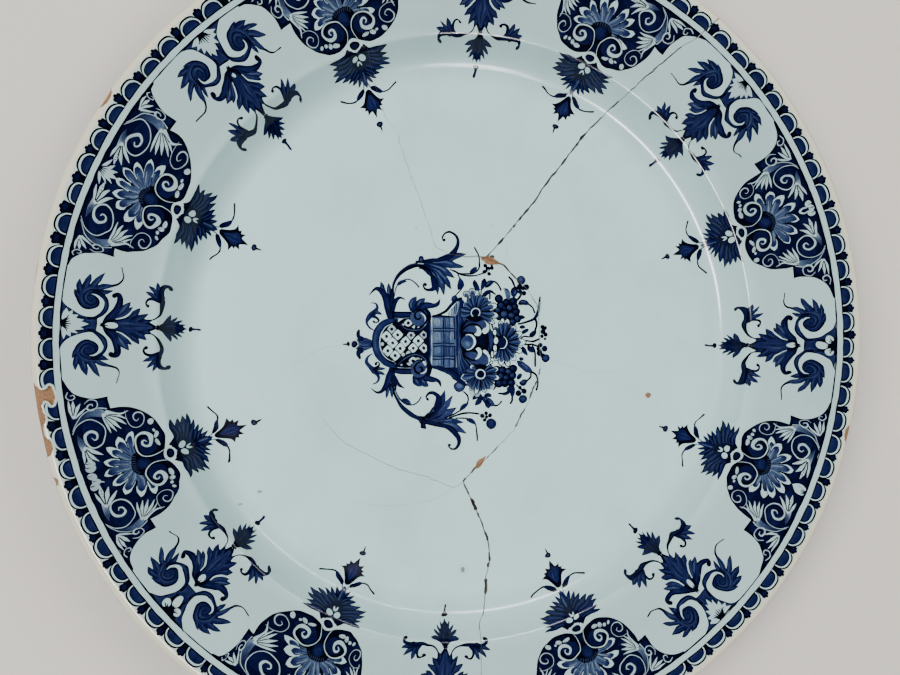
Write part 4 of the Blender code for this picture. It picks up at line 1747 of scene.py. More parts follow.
    @staticmethod
    def upper_arm(brush: Brush) -> None:
        """The great curled leaf of the upper arm.

        Args:
            brush: lays the strokes, in plan.
        """
        leaf = brush.leaf
        leaf([(-30, 54.4), (-18, 54.4), (-8, 58.2), (3.9, 61)], 3.3, 0.71)
        leaf([(-28, 53.4), (-14, 54), (-6, 52.6), (2, 51.2)], 3.0, 0.71)
        leaf([(-30, 51.8), (-20, 51), (-12, 48), (-5.2, 43.2)], 3.2, 0.71)
        leaf([(-29, 51.4), (-19, 47.8), (-12, 42), (-7.2, 35)], 3.3, Tone.DEEP)
        leaf([(-28, 51), (-19.6, 46), (-14.8, 39), (-12.3, 30.6)], 3.0, 0.71)
        leaf([(-27, 50.6), (-20.6, 45), (-18.2, 38), (-17.2, 31)], 2.6, Tone.DEEP)
        brush.line([(-21, 44), (-19.6, 39.6), (-19.8, 36), (-22.6, 34.4), (-26, 34.9),
                    (-28, 37.6), (-26.6, 39.2)], (2.2, 2.4, 2.2, 1.5, 0.9, 0.5, 0.4))
        brush.disc((-26.4, 38.2), (1.3, 1.2))
        brush.line([(-46, 44.4), (-40, 49), (-34, 51.6), (-28, 51), (-23, 48.2), (-20.2, 43)],
                   (0.4, 0.8, 1.0, 0.9, 0.7, 0.4))
        brush.line([(-33, 54.6), (-22, 56), (-15, 56.6), (-9, 58.8), (-4.4, 63.4), (-2.4, 69),
                    (-4, 74), (-8, 76.8), (-12, 75.6), (-13.9, 72.4), (-12.6, 70.4)],
                   (1.0, 1.1, 1.2, 1.5, 1.9, 1.9, 1.6, 1.1, 0.8, 0.6, 0.5))
        brush.disc((-12.5, 70.9), (1.3, 1.2))
        brush.patch([(-31, 49.4), (-27.6, 49.4), (-27.2, 57), (-27.8, 58.8), (-29.3, 59.3),
                     (-31, 58.6), (-31.3, 56.6)], Tone.INK, smooth=False)
        brush.disc((-29.2, 56.6), (1.2, 1.4), Tone.BLUE)
        brush.line([(-31.6, 53.8), (-27.6, 53.2)], 0.35, Tone.PALE)

    @staticmethod
    def lower_arm(brush: Brush) -> None:
        """The great curled leaf of the lower arm.

        Args:
            brush: lays the strokes, in plan.
        """
        leaf = brush.leaf
        leaf([(-28, -60.8), (-16, -62), (-8, -61), (2, -62)], 3.0, Tone.DEEP)
        leaf([(-18, -63), (-10, -63.8), (-3, -66.4), (3.6, -70)], 3.0, Tone.BLUE)
        leaf([(-28, -60), (-18, -58), (-10, -55), (-3.6, -51.2)], 3.3, Tone.BLUE)
        leaf([(-27, -59.4), (-17, -54.6), (-11, -49), (-6.4, -42.4)], 3.4, Tone.BLUE)
        leaf([(-24, -58), (-17.4, -51), (-14, -45), (-11.9, -38.4)], 3.0, Tone.DEEP)
        brush.line([(-19, -53), (-16.8, -47.4), (-17, -43), (-20, -40.6), (-23.4, -40.8),
                    (-25.6, -43.4), (-24.8, -45.4)], (1.8, 2.4, 2.2, 1.6, 1.1, 0.7, 0.4))
        brush.disc((-24.6, -44.9), 1.1)
        brush.line([(-32, -58.4), (-25, -57.6), (-20, -54), (-18, -50)], (0.5, 0.8, 0.6, 0.3))
        brush.line([(-30, -61), (-20, -62.8), (-12, -64.6), (-6, -68), (-2.4, -73),
                    (-1.6, -77.4), (-4, -81), (-7.4, -81.2), (-9.8, -79)],
                   (1.4, 1.3, 1.3, 1.6, 2.0, 1.9, 1.4, 0.9, 0.5))
        brush.disc((-8.9, -78.4), (1.2, 1.0))
        brush.patch([(-29.6, -61), (-26, -62), (-25.4, -66.8), (-28, -66.4), (-29.8, -65.6)],
                    Tone.INK, smooth=False)
        brush.disc((-27.6, -63.8), (0.9, 1.4), Tone.COBALT)

    @staticmethod
    def sprays(brush: Brush) -> None:
        """Thin sprays between the arms and the flowers.

        Args:
            brush: lays the strokes, in plan.
        """
        line, leaf, disc = brush.line, brush.leaf, brush.disc
        line([(-8, 49.2), (-2, 46.8), (6, 46.2), (10, 47.6), (12.9, 50.6), (13.5, 55.6),
              (12.4, 60), (9.7, 65.8)], 0.55, Tone.INK)
        leaf([(6.9, 47.2), (9.4, 49.2), (11.6, 51.4)], 1.7, Tone.DEEP, root=0.6, vein=None)
        line([(-5.6, 48.6), (1, 45.4), (8, 44.9), (16, 46.6)], 0.6, Tone.INK)
        for x, y, r in ((17.4, 52.4, 1.6), (19.6, 50, 1.9), (22.6, 50.8, 1.6), (17, 47.8, 1.7),
                        (20.4, 46.4, 1.4), (22.6, 53.2, 1.2), (18.6, 48.6, 1.3)):
            disc((x, y), r, Tone.INK)
        disc((19.8, 48.7), 0.6, Tone.PALE)
        line([(-3.6, 47.6), (-1.2, 43.4), (0.7, 39), (-0.4, 34.6), (-3.4, 31.6), (-5.6, 28)],
             0.55, Tone.INK)
        leaf([(-2.2, 35), (-0.4, 38.6), (-0.8, 43.6)], 2.3, Tone.DEEP, root=0.4, vein=None)
        disc((-5, 28), (2.7, 2.8), Tone.INK)
        disc((-5.1, 28.1), (2.1, 2.2), Tone.DEEP)
        disc((-5.6, 28.6), (1.2, 1.2), Tone.BLUE)
        line([(-12, -58.6), (-4, -55.2), (2, -51.6), (4.9, -47.2), (4.6, -43), (1.6, -39.4)],
             0.6, Tone.INK)
        leaf([(-0.6, -52.8), (2.2, -50), (5.6, -48)], 1.9, Tone.DEEP, root=0.4, vein=None)
        disc((-1.4, -36), (4.3, 3.8), Tone.INK)
        disc((-1.4, -36), (3.6, 3.1), Tone.BLUE)
        disc((-1.6, -35.4), (2.1, 1.7), 0.42)
        line([(-9, -58.8), (-2, -56.4), (6, -55), (13, -56)], 0.7, Tone.INK)
        for x, y, r in ((18, -55.4, 1.5), (21.2, -57, 1.7), (15.2, -57.4, 1.7),
                        (17.2, -60.4, 1.5), (18.4, -58.2, 1.4)):
            disc((x, y), r, Tone.INK)
        disc((16.9, -58.9), 0.6, Tone.PALE)
        disc((22, -63.3), (3.8, 4.0), Tone.INK)
        disc((22, -63.2), (3.1, 3.3), 0.82)
        disc((21.6, -62.9), (1.7, 1.8), 0.74)
        line([(-4, -59), (3, -59.1), (8.6, -61.4), (11, -66), (11.6, -75.6)], 0.55, Tone.INK)
        leaf([(4.2, -59.8), (7.4, -61), (10.6, -63.6)], 1.8, Tone.DEEP, root=0.5, vein=None)

    @staticmethod
    def foot(brush: Brush) -> None:
        """The C-shaped band with its diaper of diamonds on a dark field.

        Args:
            brush: lays the strokes, in plan.
        """
        brush.patch([(-58.6, -1), (-57, 5.8), (-52, 11), (-45, 10.6), (-38, 7), (-33, 5.2),
                     (-24, 8), (-22.8, -4), (-24, -15), (-33, -11.4), (-40, -13.2),
                     (-46, -18.6), (-52, -18.2), (-56.6, -13.2), (-58.4, -7)], Tone.INK)
        cells = ((-50.6, 5.9, 3.2, 0.14), (-54.4, 0.5, 3.9, 0.0), (-46.2, 1.8, 3.7, 0.0),
                 (-50, -4.1, 3.9, 0.0), (-53.4, -9.8, 3.8, 0.0), (-40.6, -3.2, 3.7, 0.0),
                 (-44.4, -8, 3.8, 0.0), (-48.1, -13.3, 3.6, 0.0), (-36.6, 1.5, 3.2, 0.12),
                 (-31.4, -2.7, 3.8, 0.0), (-35.2, -7.9, 3.6, 0.0), (-27.5, 1.8, 2.9, 0.16),
                 (-27.3, -7.9, 3.2, 0.04), (-38.6, -11.6, 1.9, 0.1), (-42.4, -12.4, 1.5, 0.1))
        for x, y, size, tone in cells:
            corners = np.array([(0, 1.02), (0.56, 0.56), (0.98, 0), (0.54, -0.58), (0, -1.02),
                                (-0.56, -0.54), (-0.98, 0), (-0.54, 0.56)])
            brush.patch([tuple(c) for c in corners * size * 1.03 + (x, y)], tone,
                        smooth=False)
            if size > 2.5:
                brush.line([(x - size * 0.72, y - size * 0.24), (x - size * 0.2, y - size * 0.74)],
                           (0.15, 0.45, 0.15), 0.2)
                brush.disc((x + 0.05, y), (1.15, 1.3), Tone.INK, 20)
                brush.disc((x + 0.2, y - 0.2), (0.5, 0.5), 0.8)
        brush.disc((-57.2, -4.8), (1.3, 1.2), 0.1)
        # the band hides the outer cells
        band = [(-47, 12.4), (-53, 11.6), (-58, 8.2), (-61.2, 3), (-62.2, -3.6), (-61.2, -10),
                (-58.2, -15.2), (-53.4, -19.4), (-47.4, -21.4)]
        brush.line(band, (1.9, 2.3, 2.6, 2.8, 2.8, 2.8, 2.6, 2.3, 1.9))
        brush.line(band, (0.6, 1.5, 2.0, 2.2, 2.2, 2.2, 2.0, 1.7, 0.8), 0.74)
        brush.line([(-56.6, 9.8), (-60.8, 5), (-62.6, -1), (-62.4, -7), (-60, -13)],
                   (0.2, 0.7, 0.8, 0.7, 0.2), 0.6)
        brush.line([(-50, 9.8), (-55, 7.4), (-58.2, 1.6), (-59, -5), (-57.4, -11.4),
                    (-54, -15.2), (-48.6, -17.8)], (0.2, 0.3, 0.35, 0.4, 0.4, 0.35, 0.2),
                   0.12)
        brush.line([(-57.4, -10), (-54.4, -14), (-50.4, -17)], (0.15, 0.4, 0.15), Tone.INK)
        brush.line([(-23.9, 12), (-23.5, -3), (-23.9, -20)], 1.9, 0.94)
        brush.line([(-21.5, 17.4), (-21.4, 0), (-21.5, -24)], 0.32, 0.1)
        brush.line([(-22.6, 14), (-22.5, 0), (-22.6, -20)], 0.26, Tone.WASH)

    @staticmethod
    def upper_scroll(brush: Brush) -> None:
        """The volute above the foot, its bar, bands and leaf.

        Args:
            brush: lays the strokes, in plan.
        """
        brush.patch([(-46, 10.4), (-40, 6.6), (-32, 5.2), (-26.6, 8.6), (-27, 12), (-40, 13.8)],
                    Tone.INK)
        brush.patch([(-41.6, 10.3), (-38.8, 12.8), (-35.4, 10.4), (-38.4, 7.8)], 0.04)
        brush.disc((-38.5, 10.3), (1.3, 1.3))
        for points in ([(-36, 7.4), (-34.4, 6.4), (-34, 8.6)],
                       [(-32.4, 6.8), (-30.6, 7.4), (-31, 8.4)],
                       [(-29.6, 8.6), (-27.8, 9.6), (-29, 9.8)],
                       [(-43.2, 9.6), (-41.6, 8.2), (-42, 9.8)]):
            brush.patch(points, 0.08)
        brush.patch([(-50.4, 18.6), (-50.4, 13.4), (-36.6, 13.4), (-36.6, 18.6)], Tone.INK,
                    smooth=False)
        brush.line([(-48, 16.4), (-37, 16.3)], 1.2, 0.8)
        brush.line([(-48.6, 14), (-42.6, 13.7), (-38, 14)], (0.15, 0.26, 0.15), Tone.SKY)
        brush.line([(-48.4, 12), (-44, 8.4), (-40, 5.9), (-35, 4.8), (-29.4, 5.2), (-25, 8.2),
                    (-23.2, 13), (-24, 18), (-27.4, 21.6), (-32, 22.2), (-36, 20.4)],
                   (0.9, 1.1, 1.2, 1.3, 1.3, 1.3, 1.4, 1.3, 1.2, 1.1, 0.9), 0.96)
        brush.line([(-44.6, 9.4), (-40, 6.2), (-35, 5.1), (-29.8, 5.6), (-25.8, 8.8),
                    (-24.2, 13.4), (-25.4, 17.6)],
                   (0.1, 0.26, 0.3, 0.26, 0.26, 0.26, 0.1), 0.5)
        brush.disc((-30.5, 14.8), (6.9, 7.0), Tone.INK)
        brush.disc((-31.4, 14.2), (5.9, 6.1), 0.62, 0, 0.54)
        brush.disc((-33.4, 15.4), (2.6, 4.2), 0.54, 10)
        brush.line([(-36, 19.4), (-32, 21.2), (-27.8, 20.2), (-25.2, 16.6)],
                   (0.5, 1.0, 1.0, 0.4), 0.74)
        brush.line([(-26.4, 9.4), (-25.4, 14), (-27.6, 18.4), (-31, 19.4), (-33.8, 17),
                    (-33.2, 14), (-31, 13.2), (-29.4, 14.6), (-30.4, 16)],
                   (0.3, 0.5, 0.6, 0.7, 0.8, 0.8, 0.8, 0.7, 0.3))
        brush.line([(-29.4, 17.6), (-27.2, 15.8), (-26.4, 13.4), (-26.7, 11.8)],
                   (0.15, 0.42, 0.5, 0.2), 0.06)
        brush.leaf([(-32, 21), (-30.4, 24.6), (-26.4, 28.4)], 2.6, 0.74, root=0.9)
        brush.leaf([(-35, 19.6), (-35.8, 24.4), (-32.6, 29.6)], 2.8, 0.72, root=0.9)
        brush.line([(-29, 21.8), (-25, 23.2), (-20, 23.0), (-17.2, 24.4), (-15.5, 27.6)],
                   (2.6, 2.4, 1.9, 1.2, 0.3))
        brush.line([(-29, 22), (-25, 23.2), (-20.6, 23.2)], (1.0, 1.3, 0.3), 0.76)

    @staticmethod
    def lower_scroll(brush: Brush) -> None:
        """The volute below the foot, its bar, bands and leaf.

        Args:
            brush: lays the strokes, in plan.
        """
        brush.patch([(-47, -20.4), (-42, -16.4), (-36, -13), (-28, -13.6), (-26, -17),
                     (-34, -21.4), (-44, -22)], Tone.INK)
        brush.patch([(-38, -17.2), (-35, -14.4), (-32, -17), (-34.8, -19.8)], 0.04)
        brush.disc((-35.1, -17.2), (1.3, 1.2))
        for points, tone in (([(-33, -15), (-31.2, -14.6), (-30.2, -16), (-32, -16.8)], 0.2),
                             ([(-39.6, -18.8), (-37.6, -18.4), (-37, -20.2), (-38.6, -20)], 0.1),
                             ([(-44.4, -19.8), (-42.6, -19.6), (-43.4, -21)], 0.16),
                             ([(-29.6, -15.2), (-28.4, -16.4), (-29.6, -16.8)], 0.12)):
            brush.patch(points, tone)
        brush.patch([(-50, -21.8), (-36, -22.2), (-36, -27), (-44, -26.8), (-50, -25.6)],
                    Tone.INK, smooth=False)
        brush.line([(-45, -22.4), (-40.6, -22.3), (-36.4, -22.4)], (0.1, 0.26, 0.1), Tone.SKY)
        brush.line([(-47.6, -24.6), (-37, -25)], 1.1, 0.8)
        brush.line([(-48, -21), (-44, -16.4), (-38.6, -13.2), (-33, -12.2), (-27.8, -13.6),
                    (-24, -17.6), (-22.4, -23), (-24.4, -28.4), (-29, -30.6), (-34, -29)],
                   (0.9, 1.2, 1.3, 1.3, 1.3, 1.4, 1.3, 1.2, 1.1, 0.9), 0.96)
        brush.line([(-46, -20), (-42, -16), (-37, -13.4), (-32.4, -12.6), (-28.2, -14.2),
                    (-25, -18), (-23.6, -23)],
                   (0.1, 0.26, 0.3, 0.3, 0.26, 0.26, 0.1), 0.5)
        brush.leaf([(-29.4, -29.6), (-28, -32.6), (-23.8, -35.6)], 2.4, 0.74, root=0.9)
        brush.leaf([(-34, -28.4), (-33, -32.4), (-28.9, -35.6)], 2.5, 0.74, root=0.9)
        brush.line([(-26.4, -29.4), (-22, -30.4), (-18, -31), (-15.8, -33), (-14.8, -35.8)],
                   (2.4, 2.2, 1.8, 1.2, 0.3))
        brush.line([(-26.4, -29.6), (-22, -30.6), (-18.6, -31.2)], (0.9, 1.1, 0.3), 0.78)
        brush.disc((-30.2, -22.8), (6.9, 6.9), Tone.INK)
        brush.disc((-30.8, -23), (6.0, 6.1), 0.64, 0, 0.56)
        brush.disc((-33.2, -21.6), (2.0, 2.6), 0.58)
        brush.line([(-26, -18.6), (-28.8, -17.8), (-32, -18.8), (-34, -21.6), (-33, -25),
                    (-30.2, -26), (-28.4, -24.2), (-29, -22), (-31, -21.8)],
                   (0.3, 0.5, 0.7, 0.8, 0.8, 0.8, 0.8, 0.8, 0.3))
        brush.patch([(-28.4, -17.8), (-26.4, -17.4), (-25.2, -19.6), (-26.6, -20.6),
                     (-27.6, -19)], 0.08)
        brush.line([(-25.6, -22.4), (-26.4, -24.8), (-28.6, -26), (-30, -26)],
                   (0.2, 0.5, 0.45, 0.15), 0.06)

    @staticmethod
    def woven_body(brush: Brush) -> None:
        """The washed band of the basket, ruled with its weave.

        Args:
            brush: lays the strokes, in plan.
        """
        brush.patch([(-21.2, 15.2), (-4.2, 15.4), (-4.2, -22.4), (-21.2, -22.8)], 0.6,
                    smooth=False)
        rows = ((14.2, 6.6, 0.0), (4.2, -4.0, 0.02), (-6.6, -13.4, 0.1), (-16, -21.8, 0.05))
        columns = ((-20.8, -13.6, 0.36), (-12.2, -9.0, 0.44), (-8.4, -5.4, 0.36))
        rng = brush.rng
        for top, low, darker in rows:
            for left, right, tone in columns:
                tone = tone + darker + 0.03 * float(rng.normal())
                brush.patch([(left, top), (right, top - 0.3), (right, low + 0.2), (left, low)],
                            tone, smooth=False)
                wide, tall = (right - left) * 0.34, (top - low) * 0.36
                brush.disc(((left + right) / 2 - 0.3, (top + low) / 2 + 0.6), (wide, tall),
                           tone - 0.09)
                for k in range(3):
                    x = left + (right - left) * (0.2 + 0.3 * k + 0.06 * float(rng.normal()))
                    brush.line([(x, top - 0.6), (x + 0.2, low + 0.8)], (0.06, 0.2, 0.06),
                               tone + 0.14)
        brush.line([(-20.8, 15.8), (-12, 15.4), (-4, 15.2)], (0.7, 0.6, 0.7))
        for y, lean in ((6.6, 0.0), (4.4, 0.2), (-4.4, 0.0), (-6.5, -0.1), (-13.7, -0.3),
                        (-15.9, -0.3)):
            brush.line([(-20.6, y), (-12, y + lean / 2), (-4.6, y + lean)], (0.42, 0.34, 0.45),
                       0.9)
        for y in (5.5, -5.4, -14.8):
            brush.line([(-20.2, y), (-5, y)], 0.46, 0.4)
        for x, y0, y1, wide, tone in (
                (-14.6, 6.4, -21, 0.26, 0.74), (-12.9, 14.6, -21, 0.4, 0.88),
                (-11.4, 14, -14, 0.28, 0.8), (-8.7, 14, -21, 0.3, 0.72),
                (-17.2, -16, -21.6, 0.26, 0.7), (-6.8, -6.6, -13, 0.2, 0.66)):
            brush.line([(x, y0), (x + 0.2, (y0 + y1) / 2), (x, y1)], wide, tone)
        brush.line([(-5.1, 16), (-4.9, 0), (-5.1, -22)], 0.42, 0.92)
        for x, y0, y1, wide, tone in ((-4.1, 24, 15, 0.55, 0.5), (-4.2, 15, 4, 0.5, 0.5),
                                      (-4.0, 4, -8, 0.5, 0.6), (-4.1, -8, -22.4, 0.5, 0.6),
                                      (-3.2, 18, -23, 0.22, 0.88)):
            brush.line([(x, y0), (x + 0.1, y1)], wide, tone)
        brush.patch([(-5.2, -1.6), (-4.3, -1.4), (-4.2, -6), (-5.1, -6)], 0.4, smooth=False)
        brush.patch([(-21.2, -22.4), (-3.4, -22.2), (0, -28), (-4, -30), (-9, -26), (-15, -23.8)],
                    0.88, smooth=False)

    @staticmethod
    def flared_rim(brush: Brush) -> None:
        """The flare above the weave, and the ribs that fan from it.

        Args:
            brush: lays the strokes, in plan.
        """
        brush.patch([(-3.4, 22), (0.6, 28), (4, 20), (4.6, 13), (1.4, 7), (0.2, 0), (0.6, -9),
                     (3.2, -16), (8, -21), (9, -27), (4.6, -32.6), (0.4, -31), (-2.4, -26),
                     (-3.4, -20)], 0.84)
        brush.patch([(-9.6, 16.2), (-8.4, 19.6), (-4.6, 23), (-1.6, 26.4), (-2.6, 19),
                     (-4, 15.4)], 0.3)
        for x, y0, y1, wide, tone in ((-8.2, 16.2, 20, 0.5, 0.08), (-7.2, 16.2, 21, 0.24, 0.9),
                                      (-6.4, 16.6, 22, 0.4, 0.2), (-5.6, 16.6, 23, 0.28, 0.86),
                                      (-4.9, 17, 24, 0.3, 0.4), (-4, 17, 25.4, 0.3, 0.9)):
            brush.line([(x, y0), (x + 0.4, y1)], wide, tone)
        brush.line([(-21.4, 15), (-16, 16.4), (-11, 19.2), (-7, 23.6), (-3.4, 27), (0.4, 28.6)],
                   (0.7, 0.9, 0.95, 1.0, 1.1, 0.8))
        brush.line([(-21.2, -21.8), (-15, -22.8), (-9, -25), (-4, -28.6), (-0.6, -32),
                    (3.4, -34.8)], (1.2, 1.8, 2.3, 2.5, 2.1, 1.0))
        brush.line([(-13, -24.6), (-8, -26.6), (-3.4, -30.4)], (0.2, 0.7, 0.2), Tone.DEEP)
        for x0, y0, bow, x1, y1, wide, tone in (
                (-2.4, 21, -0.4, -2.2, 2, 0.3, 0.5), (-1.2, 22, -0.3, -1.4, 4, 0.3, 0.6),
                (-0.2, 20, 0.3, 2.6, 11, 0.55, 0.5), (1.0, 17.5, 0.2, 3.6, 12.6, 0.4, 0.42),
                (-1.9, 3, -0.2, -1.8, -12, 0.34, 0.5), (-0.9, 3, -0.2, -0.8, -10, 0.24, 0.66),
                (-1.4, -8, 0.3, 0.6, -20, 0.5, 0.46), (-0.4, -8, 0.3, 2.2, -18, 0.4, 0.54),
                (-2.2, -10, 0.2, -0.6, -24, 0.4, 0.42), (-2.6, -14, 0.1, -1.4, -27, 0.3, 0.55),
                (0.6, -12, 0.4, 3.8, -19.4, 0.4, 0.48), (0.2, -17, 0.4, 3.2, -25, 0.4, 0.6),
                (1.6, -15, 0.3, 5.4, -21.4, 0.3, 0.44), (-0.8, -21, 0.3, 1.8, -29, 0.4, 0.66)):
            brush.line([(x0, y0), ((x0 + x1) / 2 - bow, (y0 + y1) / 2), (x1, y1)],
                       (0.1, wide, wide * 0.7, 0.1), tone)

    @staticmethod
    def shell(brush: Brush) -> None:
        """The shell of curled lobes between the flowers.

        Args:
            brush: lays the strokes, in plan.
        """
        brush.patch([(-0.4, 7), (4, 12.6), (12, 16), (19, 14.6), (23, 9.6), (24.4, 2),
                     (24, -8), (22.4, -15), (18, -20.6), (11, -22.2), (5, -19.4), (0.4, -12)],
                    Tone.INK)
        for points, tip in (
                ([(1.6, 7.2), (5, 10.8), (9.6, 13), (14, 13.4), (17.6, 12.2), (18.9, 9.4),
                  (17.6, 6.6), (15.4, 6.2), (14, 8.4), (10.6, 10.4), (6.4, 10)], 0.58),
                ([(1.6, 4.4), (4.4, 7.6), (8, 8.8), (11, 8), (12, 5.4), (10.6, 3), (8.6, 3.6),
                  (5.4, 4)], 0.54),
                ([(2.4, -11.6), (6, -10.6), (10, -11), (12, -12.6), (11.4, -15), (8, -15.8),
                  (4.4, -14.4)], 0.54),
                ([(3.4, -15.6), (8, -18.8), (13, -20.4), (18, -19.6), (20.4, -17),
                  (19.4, -13.4), (16.4, -12.6), (13.4, -15), (9, -17.2), (5.2, -16.4)], 0.56)):
            brush.patch(points, 0.72, tip, [points[0], points[len(points) // 2]])
        for points in (
                [(16.6, 12.5), (19.2, 11.2), (20.4, 8.6), (20.2, 5.4), (18.4, 3), (16.4, 2.8),
                 (15.2, 4.4), (16.4, 6.2), (18.1, 7.2), (18.5, 9.4), (17.8, 11.2)],
                [(10, 8.5), (12.2, 7.9), (14, 6), (14.8, 3.8), (13.6, 1.6), (11.4, 1),
                 (9.6, 1.9), (11.2, 3.4), (11.7, 5.4), (11, 7.2)],
                [(10.6, -8.8), (12.6, -7.7), (14.4, -9.2), (14.9, -12), (13.6, -14.6),
                 (11.4, -15.8), (10.2, -15.5), (11.8, -13.6), (12.3, -11.4), (11.5, -9.9)],
                [(15.6, -9.6), (17.4, -8.9), (19.4, -10.4), (20.8, -13.4), (21, -17),
                 (19.8, -18.4), (19.9, -15.6), (18.6, -12.9), (16.8, -11.6)]):
            brush.patch(points, Tone.WHITE)
        for k in range(5):             # dark ribs of the fan
            y = 1.6 - 1.9 * k
            brush.line([(11, -2 + (y + 2) * 0.5), (18.6, y)], (0.1, 0.3, 0.1), 0.86)
        brush.patch([(19.7, 3.4), (21.4, 4.4), (23.2, 2.4), (23.5, -2), (23.2, -8),
                     (21, -10.4), (19.9, -9.6), (20.5, -4), (20.2, 0)], 0.68)
        brush.line([(21.7, 3.2), (22.4, -1), (22, -7)], (0.2, 0.6, 0.2), 0.6)
        brush.disc((4.8, -3.6), (6.0, 5.8), Tone.INK)
        brush.disc((4.5, -3.6), (4.9, 5.0), 0.58)
        brush.disc((5.6, -1.8), (3.2, 2.4), 0.66, 30)
        brush.disc((3.8, -5), (2.8, 2.6), 0.48)
        brush.disc((4.4, -4.8), (1.2, 1.3), 0.36)
        brush.ring((4.5, -3.4), (5.3, 5.4), (0.2, 0.45, 0.75, 0.8, 0.55, 0.2), Tone.WHITE,
                   start=-100, sweep=205)
        brush.line([(3.4, 9.8), (8, 13.6), (14, 14.6), (19, 13.4)], (0.1, 0.28, 0.1), 0.5)
        brush.line([(3, -15.8), (8, -20), (13, -21.2)], (0.1, 0.3, 0.1), 0.44)

    @staticmethod
    def petals(brush: Brush, centre: Point,
               rows: Sequence[tuple[float, float, float, float]], root: float = 3.0) -> None:
        """A ring of petals, each a leaf from the centre outwards.

        Args:
            brush: where to lay them.
            centre: middle of the flower.
            rows: angle in degrees, length, half-width, and length left white at the tip.
            root: where they start.
        """
        rng = brush.rng
        for degrees, far, wide, bare in sorted(rows, key=lambda row: row[1] * 0.3 - row[2]):
            way = np.array([math.cos(math.radians(degrees)), math.sin(math.radians(degrees))])
            spine = np.array(centre) + way * np.linspace(root, far, 20)[:, None]
            share = np.linspace(0, 1, 20)
            swell = np.interp(share, (0, 0.4, 0.72, 0.9, 1), (0.4, 0.78, 1, 0.84, 0.32)) * wide
            brush.ribbon(spine, swell + (0.5 if bare else 0.26), Tone.INK)
            half = np.maximum(swell - 0.3, 0.12)
            end = 1 - 0.85 * bare / (far - root)
            inner = share < 0.97
            if bare:
                white = inner & (share > end - 0.2)
                brush.ribbon(spine[white], half[white], 0.02)
                inner = share < end
            rounding = np.interp(share, (0, end - 0.12, end - 0.04, end), (1, 1, 0.84, 0.4))
            body = half * (rounding if bare else 1)
            brush.ribbon(spine[inner], body[inner], 0.76, 0.52)
            side = across(spine)
            for at, tone in ((0.35, 0.48), (-0.45, 0.84)):
                streak = (share > 0.2) & (share < min(end, 0.9) - 0.1)
                brush.ribbon(spine[streak] + side[streak] * (body[streak] * at)[:, None],
                             body[streak] * 0.24, tone + 0.03 * float(rng.normal()))

    def flowers(self, brush: Brush) -> None:
        """The three daisies, and the grey buds behind them.

        Args:
            brush: lays the strokes, in plan.
        """
        for x, y, wide, tall in ((3.8, 31.4, 2.5, 2.3), (8.2, 33.4, 2.6, 2.4),
                                 (13.6, 32.6, 1.4, 2.4)):
            brush.disc((x, y), (wide + 0.2, tall + 0.2), Tone.INK)
            brush.disc((x, y), (wide - 0.4, tall - 0.4), 0.12)
            brush.disc((x, y - 0.7), (wide - 0.9, tall - 1.1), 0.5, 0, 0.66)
            brush.line([(x - wide * 0.5, y + 0.4), (x, y + 1), (x + wide * 0.5, y + 0.4)],
                       (0.1, 0.3, 0.1), 0.3)
        brush.patch([(31.8, 35.2), (34.8, 34.2), (36.4, 31), (35.8, 27.8), (33, 29),
                     (32.2, 32)], 0.4, 0.5, [(33, 35), (34, 28)])
        brush.line([(31, 35.6), (33.6, 35.2), (35.6, 33), (36.4, 30.4)], (0.3, 0.5, 0.3, 0.1))
        for points, tone in (
                ([(19, -33.4), (22, -33), (23.8, -35.6), (21.6, -38.2), (19.4, -36.6)], 0.24),
                ([(5.4, -38.6), (9, -37.8), (9.6, -42), (6.6, -43.6)], 0.1),
                ([(10.6, -38.8), (14.6, -38.8), (13.4, -42.6), (10.8, -43.4)], 0.2)):
            brush.patch(points, tone)
        brush.line([(23, -33), (25, -35.6), (23.4, -38.4)], (0.4, 0.8, 0.4))
        brush.disc((10.2, 18.8), (8, 7.6), Tone.INK)
        self.petals(brush, (10.3, 18.3), (
            (194, 11, 2.0, 0), (169, 10.8, 1.9, 0), (143, 10.6, 2.2, 0.5), (119, 12, 2.0, 0),
            (99, 13.8, 2.1, 0), (83, 12.2, 1.8, 0), (68, 12.8, 1.9, 0), (51, 13.4, 2.3, 0),
            (34, 13.4, 1.9, 0), (19, 16.6, 2.3, 3.6), (5, 13.4, 1.8, 0),
            (-9, 16.8, 2.3, 3.0), (-30, 16, 1.8, 2.6)))
        brush.disc((10.3, 18.0), 4.2, Tone.INK)
        brush.disc((10.3, 18.0), 2.5, 0.9)
        brush.disc((10.5, 17.7), 1.4, Tone.INK)
        brush.ring((10.4, 18.0), 3.3, (0.25, 0.4, 0.42, 0.25), 0.08, start=-50, sweep=290)
        brush.disc((31.4, -3.8), (7.4, 8.2), Tone.INK)
        self.petals(brush, (30.6, -3.8), (
            (118, 12.6, 1.7, 0), (97, 15.8, 2.0, 1.8), (78, 17.4, 2.1, 3.0), (66, 13.4, 1.6, 0),
            (53, 15, 2.0, 1.8), (41, 12.6, 1.6, 0), (27, 15.6, 2.3, 3.4), (14, 12, 1.6, 0),
            (1, 16.6, 2.3, 4.2), (-13, 11.4, 1.5, 0), (-26, 15.6, 2.1, 3.8),
            (-40, 12, 1.6, 0), (-55, 16, 2.0, 3.0), (-66, 13, 1.5, 0), (-77, 18, 2.0, 4.0),
            (-87, 13.4, 1.6, 0), (-95, 16.8, 2.1, 3.2), (-113, 14.2, 1.8, 1.2)), 4.6)
        brush.disc((29.6, -4), (4.4, 5.6), Tone.INK)
        brush.disc((30, -3.8), (2.7, 3.7), 0.88)
        brush.line([(31.2, 0.6), (33, -1.6), (33.4, -4.6), (31.8, -7.6), (28.4, -8.2)],
                   (0.12, 0.3, 0.38, 0.36, 0.15), 0.06)
